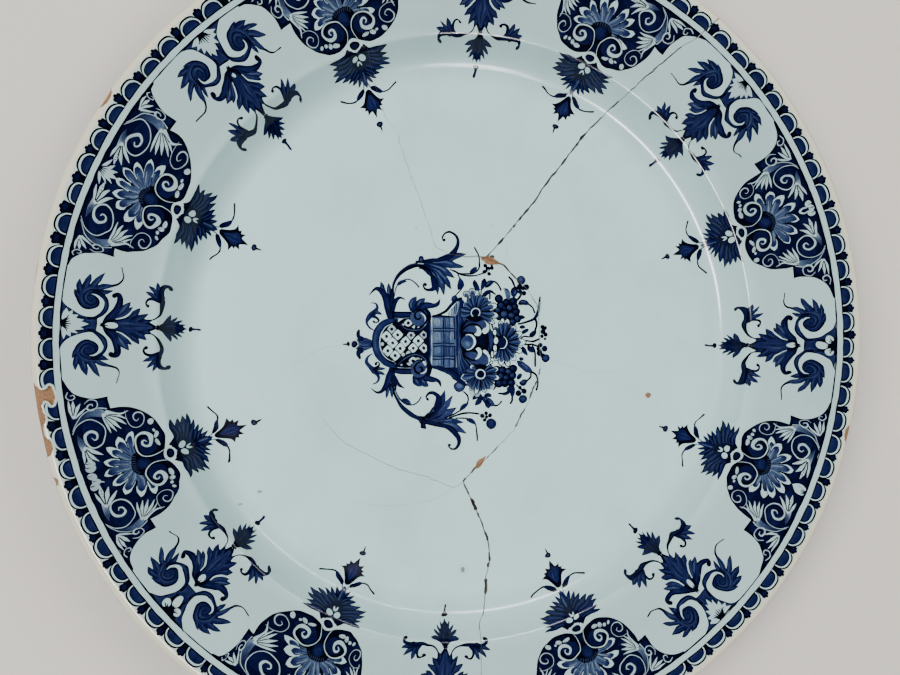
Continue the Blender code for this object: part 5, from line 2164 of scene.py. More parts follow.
        brush.disc((14, -27.2), (8.4, 7.6), Tone.INK)
        self.petals(brush, (14.1, -27), (
            (164, 10.6, 2.0, 0), (192, 14.2, 3.0, 0.7), (219, 12.6, 2.1, 0),
            (237, 13.6, 2.1, 0.8), (256, 14.6, 1.9, 3.6), (270, 12, 1.7, 0),
            (284, 13.4, 1.8, 1.6), (300, 12.2, 1.9, 0), (318, 11.4, 1.9, 0),
            (334, 11.6, 1.7, 0), (348, 14, 2.1, 2.2), (3, 12, 1.7, 0), (18, 13.4, 2.0, 1.2),
            (38, 10.4, 1.8, 0), (140, 9.4, 1.7, 1.6)))
        brush.disc((14.1, -26.9), 4.3, Tone.INK)
        brush.disc((14.1, -26.9), 2.5, 0.95)
        brush.ring((14.1, -26.9), 3.4, (0.42, 0.5, 0.42), 0.05, start=0, sweep=358)

    @staticmethod
    def beads(brush: Brush) -> None:
        """The blue bar and the row of white beads between the shell and the daisy.

        Args:
            brush: lays the strokes, in plan.
        """
        brush.line([(20.8, 9), (21.8, 4), (22.3, -2), (21.8, -8), (20.6, -12.6)],
                   (0.5, 1.3, 1.6, 1.3, 0.5))
        brush.line([(21.2, 5), (21.9, 1), (22, -3), (21.6, -8)], (0.3, 1.0, 1.1, 0.3), 0.68)
        brush.line([(21.2, 9.6), (22, 7), (22.8, 5)], (0.4, 0.75, 0.5), 0.04)
        row = ((24.6, 3.5, 1.15, 1.9, 0), (25.5, -2.3, 1.6, 2.5, 0), (24.8, -8, 1.15, 2.2, 0),
               (22.7, -12.6, 0.8, 2.1, 0), (22, -18.3, 1.1, 0.7, 40))
        for x, y, wide, tall, turn in row:
            brush.disc((x, y), (wide + 0.8, tall + 0.7), Tone.INK, turn)
        for x, y, wide, tall, turn in row:
            brush.disc((x, y), (wide, tall), Tone.WHITE, turn)

    @staticmethod
    def stems(brush: Brush) -> None:
        """Stems and leaves that stand out round the flowers.

        Args:
            brush: lays the strokes, in plan.
        """
        line, leaf = brush.line, brush.leaf
        for points, wide in (
                ([(9.4, 41.4), (11, 37), (13.2, 33)], 1.6),
                ([(17.2, 42.6), (16, 38.4), (14.4, 34)], 1.7),
                ([(18, 36.6), (20.4, 39.4), (24.4, 40.8)], 2.2),
                ([(46.8, 14.6), (43.6, 14.8), (40.6, 13)], 1.3),
                ([(39.9, 37), (38.9, 32.8), (38.8, 28.6)], 2.2),
                ([(42.4, 24.6), (45.8, 25.8), (50.4, 24.2)], 2.0),
                ([(44.6, 3), (47.8, 5), (50.2, 5.6)], 1.4),
                ([(50.6, 0.6), (53, 2.6), (55.2, 5)], 1.8),
                ([(49.2, -6.6), (51.4, -9), (54.4, -11)], 1.8),
                ([(44.8, -7), (46.6, -10), (49, -13.4)], 1.5),
                ([(43, 7), (45, 7.6), (47.4, 7.4)], 1.2),
                ([(41.6, -17.8), (46, -21.4), (52.8, -26)], 2.6),
                ([(43, -33.4), (45.4, -33.4), (48.6, -31.4)], 2.0),
                ([(41.4, -30.4), (43, -28.4), (44.8, -26.6)], 1.3),
                ([(36.2, -34), (37.4, -38.6), (37.8, -44.6)], 1.9),
                ([(17, -42.6), (19.6, -42.2), (22.4, -43.2)], 1.5),
                ([(8.6, -45.4), (10.6, -43.4), (14, -42.8)], 1.3),
                ([(14.4, -41.8), (13.2, -46), (9.8, -49.8)], 1.7),
                ([(15.6, -43.8), (19, -46.6), (24.6, -50.2)], 2.5),
                ([(18.6, -45.6), (19.6, -49), (20, -52)], 1.6),
                ([(42.8, -15.6), (44.6, -15.8), (46, -15)], 1.2)):
            leaf(points, wide + 0.3, 0.68 if wide > 2.4 else 0.82, edge=0.55, root=0.4,
                 vein=Tone.WASH if wide > 1.9 else None)
        for points, wide in (
                ([(24.2, 40.8), (27, 38.8), (29.2, 34.4)], (0.6, 0.5, 0.6)),
                ([(16.4, 30.4), (19, 32.8), (22, 33.6), (25.2, 31.2)], (1.2, 1.3, 0.8, 0.3)),
                ([(21, 32), (20.8, 28)], (0.5, 0.5)),
                ([(26, 23), (22.6, 24.6)], (0.4, 0.5)),
                ([(35, 44.4), (37.4, 41.6), (39.4, 37)], (0.7, 0.7, 0.5)),
                ([(40, 26.4), (42.4, 28.6), (44.2, 31.6)], (0.7, 0.6, 0.5)),
                ([(50, 24.2), (53, 21.6), (54.2, 18)], (0.5, 0.4, 0.5)),
                ([(42, 9.8), (48, 11.2), (53.6, 13.6), (56.8, 19), (58.2, 29.6)],
                 (0.5, 0.7, 1.2, 0.8, 0.5)),
                ([(54.4, 14), (55.6, 11), (55.4, 8), (53.6, 3)], (0.9, 0.7, 0.6, 0.4)),
                ([(42, -2.6), (48, -2.6), (53, -3), (58, -1.2)], (0.3, 0.4, 0.5, 0.5)),
                ([(42, -4), (48, -5.4), (53, -5.2), (57.4, -7)], (0.3, 0.5, 0.6, 0.5)),
                ([(42, -3), (46, 0.6), (50, 0.4), (54, 2)], (0.2, 0.4, 0.4, 0.2)),
                ([(52.6, -6.4), (54, -10), (54.6, -15), (54.6, -21.4)], (0.6, 0.6, 0.5, 0.4)),
                ([(52.4, -25.6), (55.6, -28), (56.6, -33), (55.4, -39)], (0.7, 0.5, 0.5, 0.6)),
                ([(51.2, -25.6), (51, -29.4), (48, -32.6)], (0.6, 0.6, 0.5)),
                ([(37.6, -44), (37.4, -46.4), (36, -48.6)], (0.7, 0.5, 0.4)),
                ([(34.6, -37), (34.4, -40), (31.6, -41.4), (27.4, -41)], (1.2, 1.3, 0.9, 0.3)),
                ([(24.4, -50), (27.2, -49.4), (29.6, -46.8)], (0.6, 0.4, 0.5)),
                ([(40.4, -34.8), (42, -36.6)], 0.4)):
            line(points, tuple(np.atleast_1d(wide) + 0.18))
        line([(57.6, 26), (57, 10)], 0.22, Tone.PALE)

    @staticmethod
    def berries(brush: Brush) -> None:
        """The dark masses of berries, and the loose clusters.

        Args:
            brush: lays the strokes, in plan.
        """
        big = ((27.6, 28.2, 2.2, 0.82), (29.2, 23.4, 2.5, 0.74), (33.2, 25.9, 2.1, 0.82),
               (38.2, 26.2, 2.3, 0.86), (35.3, 21.6, 2.3, 0.66), (31.6, 17.2, 2.7, 0.62),
               (26.8, 20, 2.2, 0.68), (36.8, 16, 2.5, 0.66), (40.4, 18.9, 2.2, 0.84),
               (41.2, 13.8, 2.3, 0.7), (37.8, 11.4, 2.1, 0.72), (39.4, 22.6, 2.0, 0.8),
               (27.6, 15, 1.8, 0.72), (33.6, 13.4, 1.6, 0.78), (32, 21.2, 1.6, 0.8),
               (26.4, -23.6, 2.1, 0.7), (30.4, -24, 2.2, 0.76), (34.6, -25.2, 2.2, 0.68),
               (38.2, -23, 2.3, 0.86), (29, -28.2, 2.3, 0.7), (33, -29.4, 2.2, 0.76),
               (37.6, -28, 2.3, 0.74), (27.6, -33.8, 2.4, 0.76), (32.2, -33.4, 2.5, 0.84),
               (37, -33.2, 2.1, 0.8), (26, -29, 1.8, 0.74))
        rng = brush.rng
        for x, y, r, _ in big:
            brush.disc((x, y), r + 0.85, Tone.INK)
        for x, y, r, tone in big:
            brush.disc((x, y), r + 0.1, Tone.INK)
            brush.disc((x, y), r - 0.55, tone + 0.06)
            brush.disc((x - 0.2, y + 0.3), (r - 0.55) * 0.5, tone - 0.05)
            turn = 60 + 80 * float(rng.random())
            brush.ring((x, y), r - 0.8, (0.08, 0.24, 0.08), tone - 0.2, start=turn, sweep=110)
        for x, y, wide, tall, turn in ((27.6, 10.8, 1.6, 0.9, 20), (24.9, -22.6, 0.9, 1.8, 30),
                                       (26.4, -29.8, 1.4, 0.9, 30)):
            brush.disc((x, y), (wide, tall), 0.08, turn)
        for x, y, r, tone in (
                (44.2, 41.9, 3.2, 0.78), (43, 37, 2.3, 0.97), (47.9, 36.8, 2.3, 0.95),
                (46.3, 32.4, 1.8, 0.97), (43.3, 33.4, 1.8, 0.86), (45.6, 36, 1.6, 0.97),
                (60, 7.6, 1.7, 1), (62, 6.8, 1.5, 1), (60.4, 4.2, 2.0, 1), (62.4, 2.2, 1.7, 1),
                (59.6, 0.8, 1.4, 1), (61.8, -1, 1.1, 1), (58.3, -5.8, 1.8, 0.97),
                (61.6, -8.4, 2.2, 0.92), (57.8, -11.4, 2.4, 0.96), (60.4, -13.4, 1.8, 0.95),
                (56.6, -8.4, 1.4, 1), (62.4, -15.4, 3.1, 0.86), (43.2, -37, 1.5, 1),
                (46.2, -39.4, 2.1, 0.97), (42.2, -41, 2.2, 0.97), (44.6, -39, 1.3, 1),
                (45.4, -45.4, 3.2, 0.86)):
            brush.disc((x, y), r, Tone.INK)
            if tone < 0.99:
                brush.disc((x - 0.1, y + 0.1), r - 0.6, tone)
        brush.disc((44.2, 42), (2.4, 2.2), 0.72)
        brush.disc((44, 42.6), (1.4, 1.2), 0.56)
        brush.disc((62.3, -15.2), (1.7, 1.6), 0.66)
        brush.disc((45.3, -45.2), (1.7, 1.6), 0.66)
        brush.disc((44, -39.4), 0.7, 0.2)
        brush.disc((58.8, -8.6), 0.6, 0.3)


# ---------------------------------------------------------------- wear
@dataclass(frozen=True)
class Wear:
    """Dirt and painted shade along the breaks, hairlines that don't part the ware, and specks."""

    hairlines: tuple[tuple[float, float, Points], ...] = (
        # half-width, strength, route
        (0.26, 0.62, ((1, -105), (-6, -109), (-26, -101), (-49, -94), (-65, -86), (-82, -77),
                      (-92, -68), (-100, -58))),
        (0.16, 0.34, ((-6, -110), (-18, -117), (-39, -121), (-59, -121), (-75, -118),
                      (-86, -113))),
        (0.16, 0.3, ((-84, -5), (-100, -8), (-109, -13), (-118, -18), (-128, -20))),
        (0.16, 0.3, ((67, -17), (83, -22), (94, -26), (124, -25))),
        (0.14, 0.24, ((128, -21), (141, -19), (155, -22), (184, -22))),
        (0.3, 0.3, ((33, 68), (34, 58))),
        (0.14, 0.2, ((-63, -137), (-18, -138), (16, -144), (29, -145))),
        (0.14, 0.18, ((-32, -159), (20, -159))),
    )
    specks: tuple[tuple[float, float, float, float], ...] = (
        # place, half-width and strength
        (-157, -118, 0.9, 0.5), (-144, -110, 1.1, 0.6), (-33, 79, 0.6, 0.4),
        (22.6, 58.9, 1.3, 0.95), (-79, 78, 0.5, 0.4), (22, 82, 0.5, 0.4),
    )
    # dark lines painted along the breaks: dirt, and painted shade that stands for the dark inside
    # the narrow gaps; on the upper right break this painted shade is laid as near-black cobalt
    dirty_and_shaded: tuple[tuple[str, Kind, tuple[tuple[float, float, float, float, float], ...]],
                 ...] = (
        # break, what shows in it, and its stretches: from and to along the
        # break, half-width, strength, share of the stretch that shows
        ("upper_right", Kind.COBALT, (
            (1, 24, 0.5, 1.0, 0.66), (24, 62, 0.6, 1.0, 0.9), (62, 136, 0.56, 1.0, 1.0),
            (136, 190, 0.42, 0.95, 0.95), (190, 262, 0.34, 0.9, 0.9))),
        ("lower", Kind.STAIN_AND_SHADE, (
            (1, 14, 0.7, 1.0, 1.0), (14, 32, 0.6, 1.0, 0.95), (32, 56, 0.36, 0.9, 0.7),
            (56, 100, 0.26, 0.7, 0.6), (100, 112, 0.5, 1.0, 0.8), (112, 160, 0.58, 1.0, 0.72),
            (160, 178, 0.36, 1.0, 0.6), (186, 202, 0.7, 1.0, 1.0), (202, 216, 0.5, 1.0, 0.65),
            (216, 225, 1.0, 1.0, 1.0), (225, 243, 0.5, 1.0, 0.6), (243, 249, 1.0, 1.0, 1.0),
            (249, 258, 0.36, 1.0, 0.6), (258, 269, 0.8, 1.0, 1.0), (269, 278, 0.3, 0.8, 0.5),
            (278, 289, 0.9, 1.0, 1.0), (289, 310, 0.3, 0.9, 0.9),
            (310, 420, 0.18, 0.55, 0.6))),
        ("tight", Kind.STAIN_AND_SHADE, (
            (1, 28, 0.45, 0.5, 1.0), (28, 160, 0.22, 0.42, 0.95),
            (160, 300, 0.16, 0.24, 0.85))),
    )

    def paint(self, brush: Brush, breakage: Breakage, damage: Damage) -> None:
        """Lay the hairlines, the bared edges of the lip, the specks, and the dirt and painted
        shade of the breaks over the painting.

        Args:
            brush: lays the strokes, in plan.
            breakage: the breaks that the dirt and painted shade lie in.
            damage: the losses whose edges show.
        """
        for half, strength, route in self.hairlines:
            self.hairline(brush, route, half, strength)
        # a dark speck in a clear ring, with faint dirt round it, by the lower break
        for centre, size, strength in (((1, -169), (3.6, 4.2), 0.1), ((1, -169), (2.5, 3.0), 0.0),
                                       ((1.1, -169.2), (1.5, 2.1), 0.7)):
            brush.disc(centre, size, strength, kind=Kind.STAIN_AND_SHADE)
        for chip in damage.lip:
            edge = chip.outline()[:-2]
            halo = min(1.35, 0.7 + 0.2 * chip.depth * len(edge) / 20)
            brush.ribbon(edge, np.full(len(edge), halo), Tone.WHITE)
            brush.ribbon(edge, np.full(len(edge), 0.55), 0.5, kind=Kind.CREAM)
        for x, y, half, strength in self.specks:
            spot = curve([(x - half, y), (x, y + half * 0.3), (x + half, y)], 0.4)
            brush.ribbon(spot, np.full(len(spot), half * 0.8), strength, kind=Kind.STAIN_AND_SHADE)
        # dirt and painted shade of the gaps, as dark lines along the breaks
        for name, kind, stretches in self.dirty_and_shaded:
            self.dirt_and_shade(brush, getattr(breakage, name), kind, stretches)

    @staticmethod
    def hairline(brush: Brush, route: Points, half: float, strength: float) -> None:
        """One fine crack that thins out at its ends.

        Args:
            brush: lays the strokes, in plan.
            route: where it runs.
            half: its half-width.
            strength: how dark it is.
        """
        spine = curve(route, 2.0)
        rng = np.random.default_rng(int(abs(route[0][0] * 3 + route[0][1])))
        spine = spine + 0.22 * rng.normal(size=spine.shape)
        share = np.linspace(0, 1, len(spine))
        width = half * np.interp(share, (0, 0.1, 0.8, 1), (0.6, 1, 0.9, 0.35))
        brush.ribbon(spine, width, strength, kind=Kind.STAIN_AND_SHADE)

    @staticmethod
    def dirt_and_shade(brush: Brush, line: Break, kind: Kind,
             stretches: Sequence[tuple[float, float, float, float, float]]) -> None:
        """Dirt and painted shade of the gap in the edges of a break, in dashes where little of it
        shows.

        Args:
            brush: lays the strokes, in plan.
            line: the break.
            kind: what shows in it.
            stretches: rows as in the field dirty_and_shaded.
        """
        path, _ = line.centreline()
        at = np.arange(len(path)) * line.step
        rng = np.random.default_rng(line.seed + 40)
        for start, end, half, strength, shows in stretches:
            place = np.arange(start, end, 0.85)
            spine = np.stack([np.interp(place, at, path[:, k]) for k in (0, 1)], axis=1)
            spine = spine + 0.1 * rng.normal(size=spine.shape)
            run = wander(rng, end, 5.0, place) + 2.2 * (shows - 0.5) > -0.2
            width = half * (1 + 0.35 * wander(rng, end, 2.6, place))
            edges = np.flatnonzero(np.diff(np.concatenate([[0], run.astype(int), [0]])))
            for first, last in zip(edges[::2], edges[1::2]):
                if last - first > 2:
                    brush.ribbon(spine[first:last], width[first:last], strength, kind=kind)


# ---------------------------------------------------------------- painted face
@dataclass
class PaintedFace:
    """The upper face of the whole dish, cut in plan by every outline on it.

    The fragments, strokes, losses and rings of the lip are lines of one
    constrained Delaunay triangulation, so the edge of each stroke is an edge of
    triangles.
    """

    fragments: dict[str, Array]
    strokes: list[Stroke]
    damage: Damage
    section: Section
    spacing: float = 7.0         # of the plain lattice
    fine: float = 3.6            # along the rings of the fillets
    cream_start: float = 274.2   # where the thin glaze of the lip lets the clay through
    cream_fade: float = 2.6
    cream_most: float = 0.85

    def guides(self) -> Array:
        """Points that make the triangles follow the section: a lattice, and rings.

        Returns:
            Plan points.
        """
        grid = lattice(self.spacing)
        radius = round_radius(grid)
        grid = grid[(radius < 183) | ((radius > 216) & (radius < 272))]
        # closer rings where the cavetto's two corners turn
        rings = [*np.arange(184.5, 203, 2.1), 205.0, 207.2, *np.arange(209.0, 213, 0.9), 214.6]
        return np.vstack([grid, *(self.ring(r, self.fine) for r in rings)])

    @staticmethod
    def ring(radius: float, spacing: float) -> Array:
        """Points evenly round the dish at one radius.

        Args:
            radius: its radius, before the dish's stretch.
            spacing: distance between points.

        Returns:
            Plan points.
        """
        count = int(2 * math.pi * radius / spacing)
        theta = np.arange(count) * 2 * math.pi / count
        return polar(np.full(count, radius), theta)

    def loops(self) -> list[Array]:
        """Closed lines: fragments first, then strokes, losses and rings of the lip.

        Returns:
            One row of plan points a line.
        """
        grid = np.arange(LIP_POINTS) * 2 * math.pi / LIP_POINTS
        lip = self.section.lip_fillet
        turns = [math.sin(math.radians(a)) for a in (0, 17, 34, 50, 64, 76)]
        rings = [polar(np.full(LIP_POINTS, (RIM - lip + lip * turn) * WITHIN), grid)
                 for turn in turns]
        losses = []
        for outline, _ in self.damage.outlines():
            losses.append(outline)
            middle = outline.mean(axis=0)
            losses.append(middle + (outline - middle) * 0.8)
        return [*self.fragments.values(), *(s.outline for s in self.strokes), *losses, *rings]

    def triangulate(self) -> tuple[Array, Array, Array]:
        """Cut the face.

        Returns:
            Plan points, triangles, and the number of each triangle's fragment.
        """
        loops = self.loops()
        sizes = np.array([len(loop) for loop in loops])
        starts = np.concatenate([[0], np.cumsum(sizes)[:-1]])
        index = np.arange(sizes.sum())
        following = index + 1
        following[starts + sizes - 1] = starts
        coords = np.vstack([*loops, self.guides()])
        faces = [list(range(starts[k], starts[k] + sizes[k]))
                 for k in range(len(self.fragments))]
        points, _, triangles, _, _, origin = delaunay_2d_cdt(
            coords.tolist(), np.stack([index, following], axis=1).tolist(), faces,
            1, 1e-4, True)
        owner = np.array([ids[0] if ids else -1 for ids in origin])
        sides = np.array([len(t) for t in triangles])
        keep = (owner >= 0) & (sides == 3)
        chosen = np.array([t for t, k in zip(triangles, keep) if k])
        LOG.info("painted face: %d strokes, %d triangles", len(self.strokes), len(chosen))
        return np.array(points, float)[:, :2], chosen, owner[keep]

    def painted(self, corners: Array) -> Array:
        """What lies at each corner of each triangle, in the order of painting.

        A triangle takes a stroke that holds its centre. Along a stroke the
        strength runs evenly from its root to its tip.

        Args:
            corners: (triangles, 3, 2) plan points.

        Returns:
            (triangles, 3, 4): cobalt, stain and painted shade, cream, and one.
        """
        centres = corners.mean(axis=1)
        order = np.argsort(centres[:, 0])
        sorted_x = centres[order, 0]
        paint = np.zeros((len(corners), 3, 4))
        paint[..., 3] = 1.0
        radius = round_radius(corners)
        paint[..., Kind.CREAM.value] = self.cream_most * np.clip(
            (radius - self.cream_start) / self.cream_fade, 0, 1)
        for stroke in self.strokes:
            low, high = stroke.outline.min(axis=0), stroke.outline.max(axis=0)
            first, last = np.searchsorted(sorted_x, (low[0], high[0]))
            near = order[first:last]
            near = near[(centres[near, 1] > low[1]) & (centres[near, 1] < high[1])]
            near = near[inside(centres[near], stroke.outline)]
            if not len(near):
                continue
            root, tip = stroke.axis
            way = tip - root
            share = np.clip((corners[near] - root) @ way / max(float(way @ way), 1e-9), 0, 1)
            paint[near, :, stroke.kind.value] = (
                stroke.root + (stroke.tip - stroke.root) * share)
            if stroke.kind is Kind.COBALT and stroke.root > Tone.SKY.value:
                paint[near, :, Kind.CREAM.value] = 0
        return paint


# ---------------------------------------------------------------- fragment
@dataclass
class Fragment:
    """One fragment: painted face, broken wall and underside, as a closed body."""

    node: str
    section: Section
    ripple: Ripple
    damage: Damage
    glaze: float = 0.45          # thickness of the glaze in the broken wall
    grain: float = 0.16          # how deep the broken clay is pitted
    thinnest: float = 0.1        # thinner ware gets no wall
    remnant: float = 0.12        # ware that a loss leaves at the least
    under_spacing: float = 11.0

    def heights(self, plan: Array) -> tuple[Array, Array]:
        """Heights of the glazed face and of the underside at plan points.

        Args:
            plan: plan points.

        Returns:
            Heights of the face, and of the underside.
        """
        swell = self.ripple.height(plan)
        fade = np.clip((round_radius(plan) - 165) / 60, 0, 1)
        under = self.section.read(plan, False)[0] + swell * fade
        low = self.damage.lowered(plan)
        upper = self.section.read(plan, True)[0] + swell - low
        return np.where(low > 0.05, np.maximum(upper, under + self.remnant), upper), under

    @staticmethod
    def rim_of(triangles: Array) -> Array:
        """The triangles' outer boundary, walked with the triangles on the left.

        Args:
            triangles: numbers of their corners.

        Returns:
            Numbers of the boundary's points, in order.
        """
        edges = np.vstack([triangles[:, (0, 1)], triangles[:, (1, 2)], triangles[:, (2, 0)]])
        size = triangles.max() + 1
        forward = edges[:, 0] * size + edges[:, 1]
        backward = edges[:, 1] * size + edges[:, 0]
        outer = edges[~np.isin(forward, backward)]
        following = dict(outer.tolist())
        loops: list[list[int]] = []
        while following:
            start, at = next(iter(following.items()))
            del following[start]
            loop = [start]
            while at != start:
                loop.append(at)
                at = following.pop(at)
            loops.append(loop)
        loops.sort(key=len)
        if len(loops) > 1:
            LOG.warning("the boundary has loops of %s points", [len(loop) for loop in loops])
        return np.array(loops[-1])

    def underside(self, rim: Array) -> tuple[Array, Array]:
        """Triangles of the underside within the same boundary.

        Args:
            rim: plan points of the boundary.

        Returns:
            Inner points, and triangles that count the boundary's points first.
        """
        grid = lattice(self.under_spacing)
        radius = round_radius(grid)
        foot = (self.section.foot_inner - 3, self.section.foot_inner,
                self.section.foot_outer, self.section.foot_outer + 2)
        # the lattice fills the flat parts, and rings follow the foot and the corners
        clear = (radius < foot[0] - 5) | ((radius > foot[3] + 5) & (radius < 176))
        clear |= (radius > 222) & (radius < 268)
        rings = [PaintedFace.ring(r, 1.9) for r in foot]
        rings += [PaintedFace.ring(r, 4.5) for r in (
            *np.arange(178, 208, 4.0), 211.0, 213.0, 214.8, 216.6, 219.0, 271.0, 274.5,
            276.6, 277.9, 278.8)]
        inner = np.vstack([grid[clear], *rings])
        _, _, triangles, origin, _, faces = delaunay_2d_cdt(
            np.vstack([rim, inner]).tolist(), [], [list(range(len(rim)))], 1, 1e-5, True)
        keep = [t for t, ids in zip(triangles, faces) if ids and len(t) == 3]
        source = np.array([ids[0] if ids else -1 for ids in origin])
        if (source < 0).any():
            LOG.warning("%s: %d points split the underside's boundary", self.node,
                        int((source < 0).sum()))
        return inner, source[np.array(keep)]

    def wall_rows(self, loop: Array, rim: Array, first: int) -> tuple[list[Array], Array]:
        """Points of the broken wall under the boundary, in rows from top to bottom.

        The clay starts and ends one thickness of glaze from the two faces, and
        its middle rows are pitted.

        Args:
            loop: numbers of the boundary's points.
            rim: their plan points.
            first: number of the first new point.

        Returns:
            The rows, and the number of the point that stands under each point of
            the boundary in each row, the boundary's own first. Where there is no
            wall these are all the same point.
        """
        z_top, z_under = self.heights(rim)
        wall = z_top - z_under > self.thinnest
        thick = (z_top - z_under)[wall]
        skin = np.minimum(self.glaze, 0.2 * thick)
        outward = -across(np.vstack([rim[-1:], rim, rim[:1]]))[1:-1][wall]
        rng = np.random.default_rng(len(loop))
        rows = []
        for share in (0.0, 1 / 3, 2 / 3, 1.0):
            sink = rng.uniform(0.0, self.grain, len(thick)) * (0 < share < 1)
            z = z_top[wall] - skin - (thick - 2 * skin) * share
            rows.append(np.column_stack([rim[wall] - outward * sink[:, None], z]))
        rows.append(np.column_stack([rim[wall], z_under[wall]]))
        column = np.repeat(loop[:, None], len(rows) + 1, axis=1)
        for k, row in enumerate(rows):
            column[wall, k + 1] = first + k * len(row) + np.arange(len(row))
        return rows, column

    @staticmethod
    def wall_faces(column: Array, lost: Array) -> tuple[Array, Array]:
        """Triangles between the rows of the wall, and the material slot of each.

        The bottom row shows glaze, and so does the top one except in a loss.

        Args:
            column: numbers of the points, from wall_rows.
            lost: which points of the boundary lie in a loss.

        Returns:
            The triangles, and 0 for glaze or 1 for clay.
        """
        following = np.roll(column, -1, axis=0)
        glazed = ~(lost | np.roll(lost, -1))
        last = column.shape[1] - 2
        sides = []
        for k in range(last + 1):
            slot = np.where((k == 0) & glazed | (k == last), 0, 1)
            for corners in ((column[:, k], column[:, k + 1], following[:, k + 1]),
                            (column[:, k], following[:, k + 1], following[:, k])):
                sides.append(np.column_stack([*corners, slot]))
        side = np.vstack(sides)
        distinct = ((side[:, 0] != side[:, 1]) & (side[:, 1] != side[:, 2])
                    & (side[:, 0] != side[:, 2]))
        return side[distinct, :3], side[distinct, 3]

    def build(self, plan: Array, triangles: Array, paint: Array) -> bpy.types.Object:
        """Make the fragment's mesh.

        Args:
            plan: plan points of the whole face.
            triangles: this fragment's triangles.
            paint: what lies at their corners.

        Returns:
            The object, in metres, with its paint, map and normals.
        """
        used, flat = np.unique(triangles.ravel(), return_inverse=True)
        top, plan = flat.reshape(-1, 3), plan[used]
        a, b, c = (plan[top[:, k]] for k in range(3))
        area = np.cross(b - a, c - a)
        keep = np.abs(area) > 1e-7
        top, paint, area = top[keep], paint[keep], area[keep]
        turned = area < 0
        top[turned] = top[turned][:, ::-1]
        paint[turned] = paint[turned][:, ::-1]

        loop = self.rim_of(top)
        rim = plan[loop]
        rows, column = self.wall_rows(loop, rim, len(plan))
        walls, wall_slot = self.wall_faces(column, self.damage.lowered(rim) > 0.2)

        # the underside counts its own points; those that it uses are numbered on
        inner, under = self.underside(rim)
        kept = np.isin(np.arange(len(inner)), under - len(rim))
        first = len(plan) + sum(len(row) for row in rows)
        known = np.concatenate([column[:, -1], first + np.cumsum(kept) - 1])
        under, inner = known[under][:, ::-1], inner[kept]

        verts = np.vstack([np.column_stack([plan, self.heights(plan)[0]]), *rows,
                           np.column_stack([inner, self.heights(inner)[1]])])
        faces = np.vstack([top, walls, under])
        slots = np.concatenate([self.bare_face(plan[top].mean(axis=1)), wall_slot,
                                self.bare_foot(verts[under][..., :2].mean(axis=1))])
        parts = np.repeat((0, 1, 2), (len(top), len(walls), len(under)))
        colours = np.zeros((len(faces), 3, 4))
        colours[..., 3] = 1.0
        colours[:len(top)] = paint
        return self.mesh(verts, faces, slots, parts, colours)

    def bare_face(self, centres: Array) -> Array:
        """1 where a triangle of the face lies in a loss, else 0."""
        return (self.damage.lowered(centres) > 0).astype(int)

    def bare_foot(self, centres: Array) -> Array:
        """1 on the flat of the foot ring, which is wiped clean of glaze.

        Args:
            centres: middles of the triangles.

        Returns:
            One number a triangle.
        """
        radius = round_radius(centres)
        foot = (radius > self.section.foot_inner) & (radius < self.section.foot_outer)
        return foot.astype(int)

    def normals(self, verts: Array, faces: Array, slots: Array, parts: Array) -> Array:
        """Normals at each corner of each face.

        Glazed faces take those of the turned section tilted by the ripple, so
        their shading doesn't depend on how the paint cuts them. Clay and walls
        take those of their own flat faces.

        Args:
            verts: points.
            faces: triangles.
            slots: 0 for glaze, 1 for clay.
            parts: 0 for the face, 1 for the wall, 2 for the underside.

        Returns:
            One unit vector a corner.
        """
        corner = verts[faces]
        flat = np.cross(corner[:, 1] - corner[:, 0], corner[:, 2] - corner[:, 0])
        flat /= np.maximum(np.linalg.norm(flat, axis=1, keepdims=True), 1e-12)
        result = np.repeat(flat[:, None], 3, axis=1)
        for part, upper in ((0, True), (2, False)):
            chosen = (parts == part) & (slots == 0)
            points = corner[chosen].reshape(-1, 3)[:, :2]
            normal = self.section.read(points, upper)[1]
            tilt = self.ripple.tilt(points)
            normal[:, :2] -= tilt * np.abs(normal[:, 2:3]) * (1 if upper else -0.5)
            normal /= np.linalg.norm(normal, axis=1, keepdims=True)
            result[chosen] = normal.reshape(-1, 3, 3)
        return result

    @staticmethod
    def flattened(verts: Array, faces: Array, parts: Array) -> Array:
        """Map of the whole surface into one square, with no overlap.

        The face fills one side of the square, the underside a smaller place
        beside it, and the walls are cut into short rows beyond that.

        Args:
            verts: points.
            faces: triangles.
            parts: 0 for the face, 1 for the wall, 2 for the underside.

        Returns:
            Place of each corner in the square.
        """
        plan = verts[faces][..., :2]
        low = plan.reshape(-1, 2).min(axis=0)
        size = np.ptp(plan.reshape(-1, 2), axis=0)
        order = [1, 0] if size[0] > size[1] else [0, 1]
        wide, tall = size[order]
        placed = (plan - low)[..., order]
        fill, edge = 0.99, 0.005                   # of the square, and its clear border
        room = 1 - fill * wide / tall - 5 * edge   # width left beside the face
        small = min(room / wide, 0.62 / tall)      # scale of the underside
        result = np.empty((len(faces), 3, 2))
        result[parts == 0] = 0.004 + placed[parts == 0] * (fill / tall)
        corner = np.array([1 - edge - small * wide, edge])
        result[parts == 2] = corner + placed[parts == 2] * small

        walls = np.flatnonzero(parts == 1)
        floor, ceiling = 0.02 + small * tall, 0.985
        per_row, pitch, widest = 60.0, 0.7, 2.0    # along a row, in millimetres
        row, along = np.divmod(np.arange(len(walls)) // 10 * pitch, per_row)
        rows = max(1.0, row.max() + 1)
        z = verts[faces[walls]][..., 2]
        drop = (z - z.min()) / max(float(np.ptp(z)), 1e-9)
        far = np.linalg.norm(plan[walls] - plan[walls][:, :1], axis=2)
        u = (along[:, None] + np.minimum(far, widest)) / (per_row + 3)
        result[walls, :, 0] = 1 - edge - room * 0.95 + u * room * 0.9
        result[walls, :, 1] = floor + (ceiling - floor) * (row[:, None] + 0.1 + 0.8 * drop) / rows
        return result

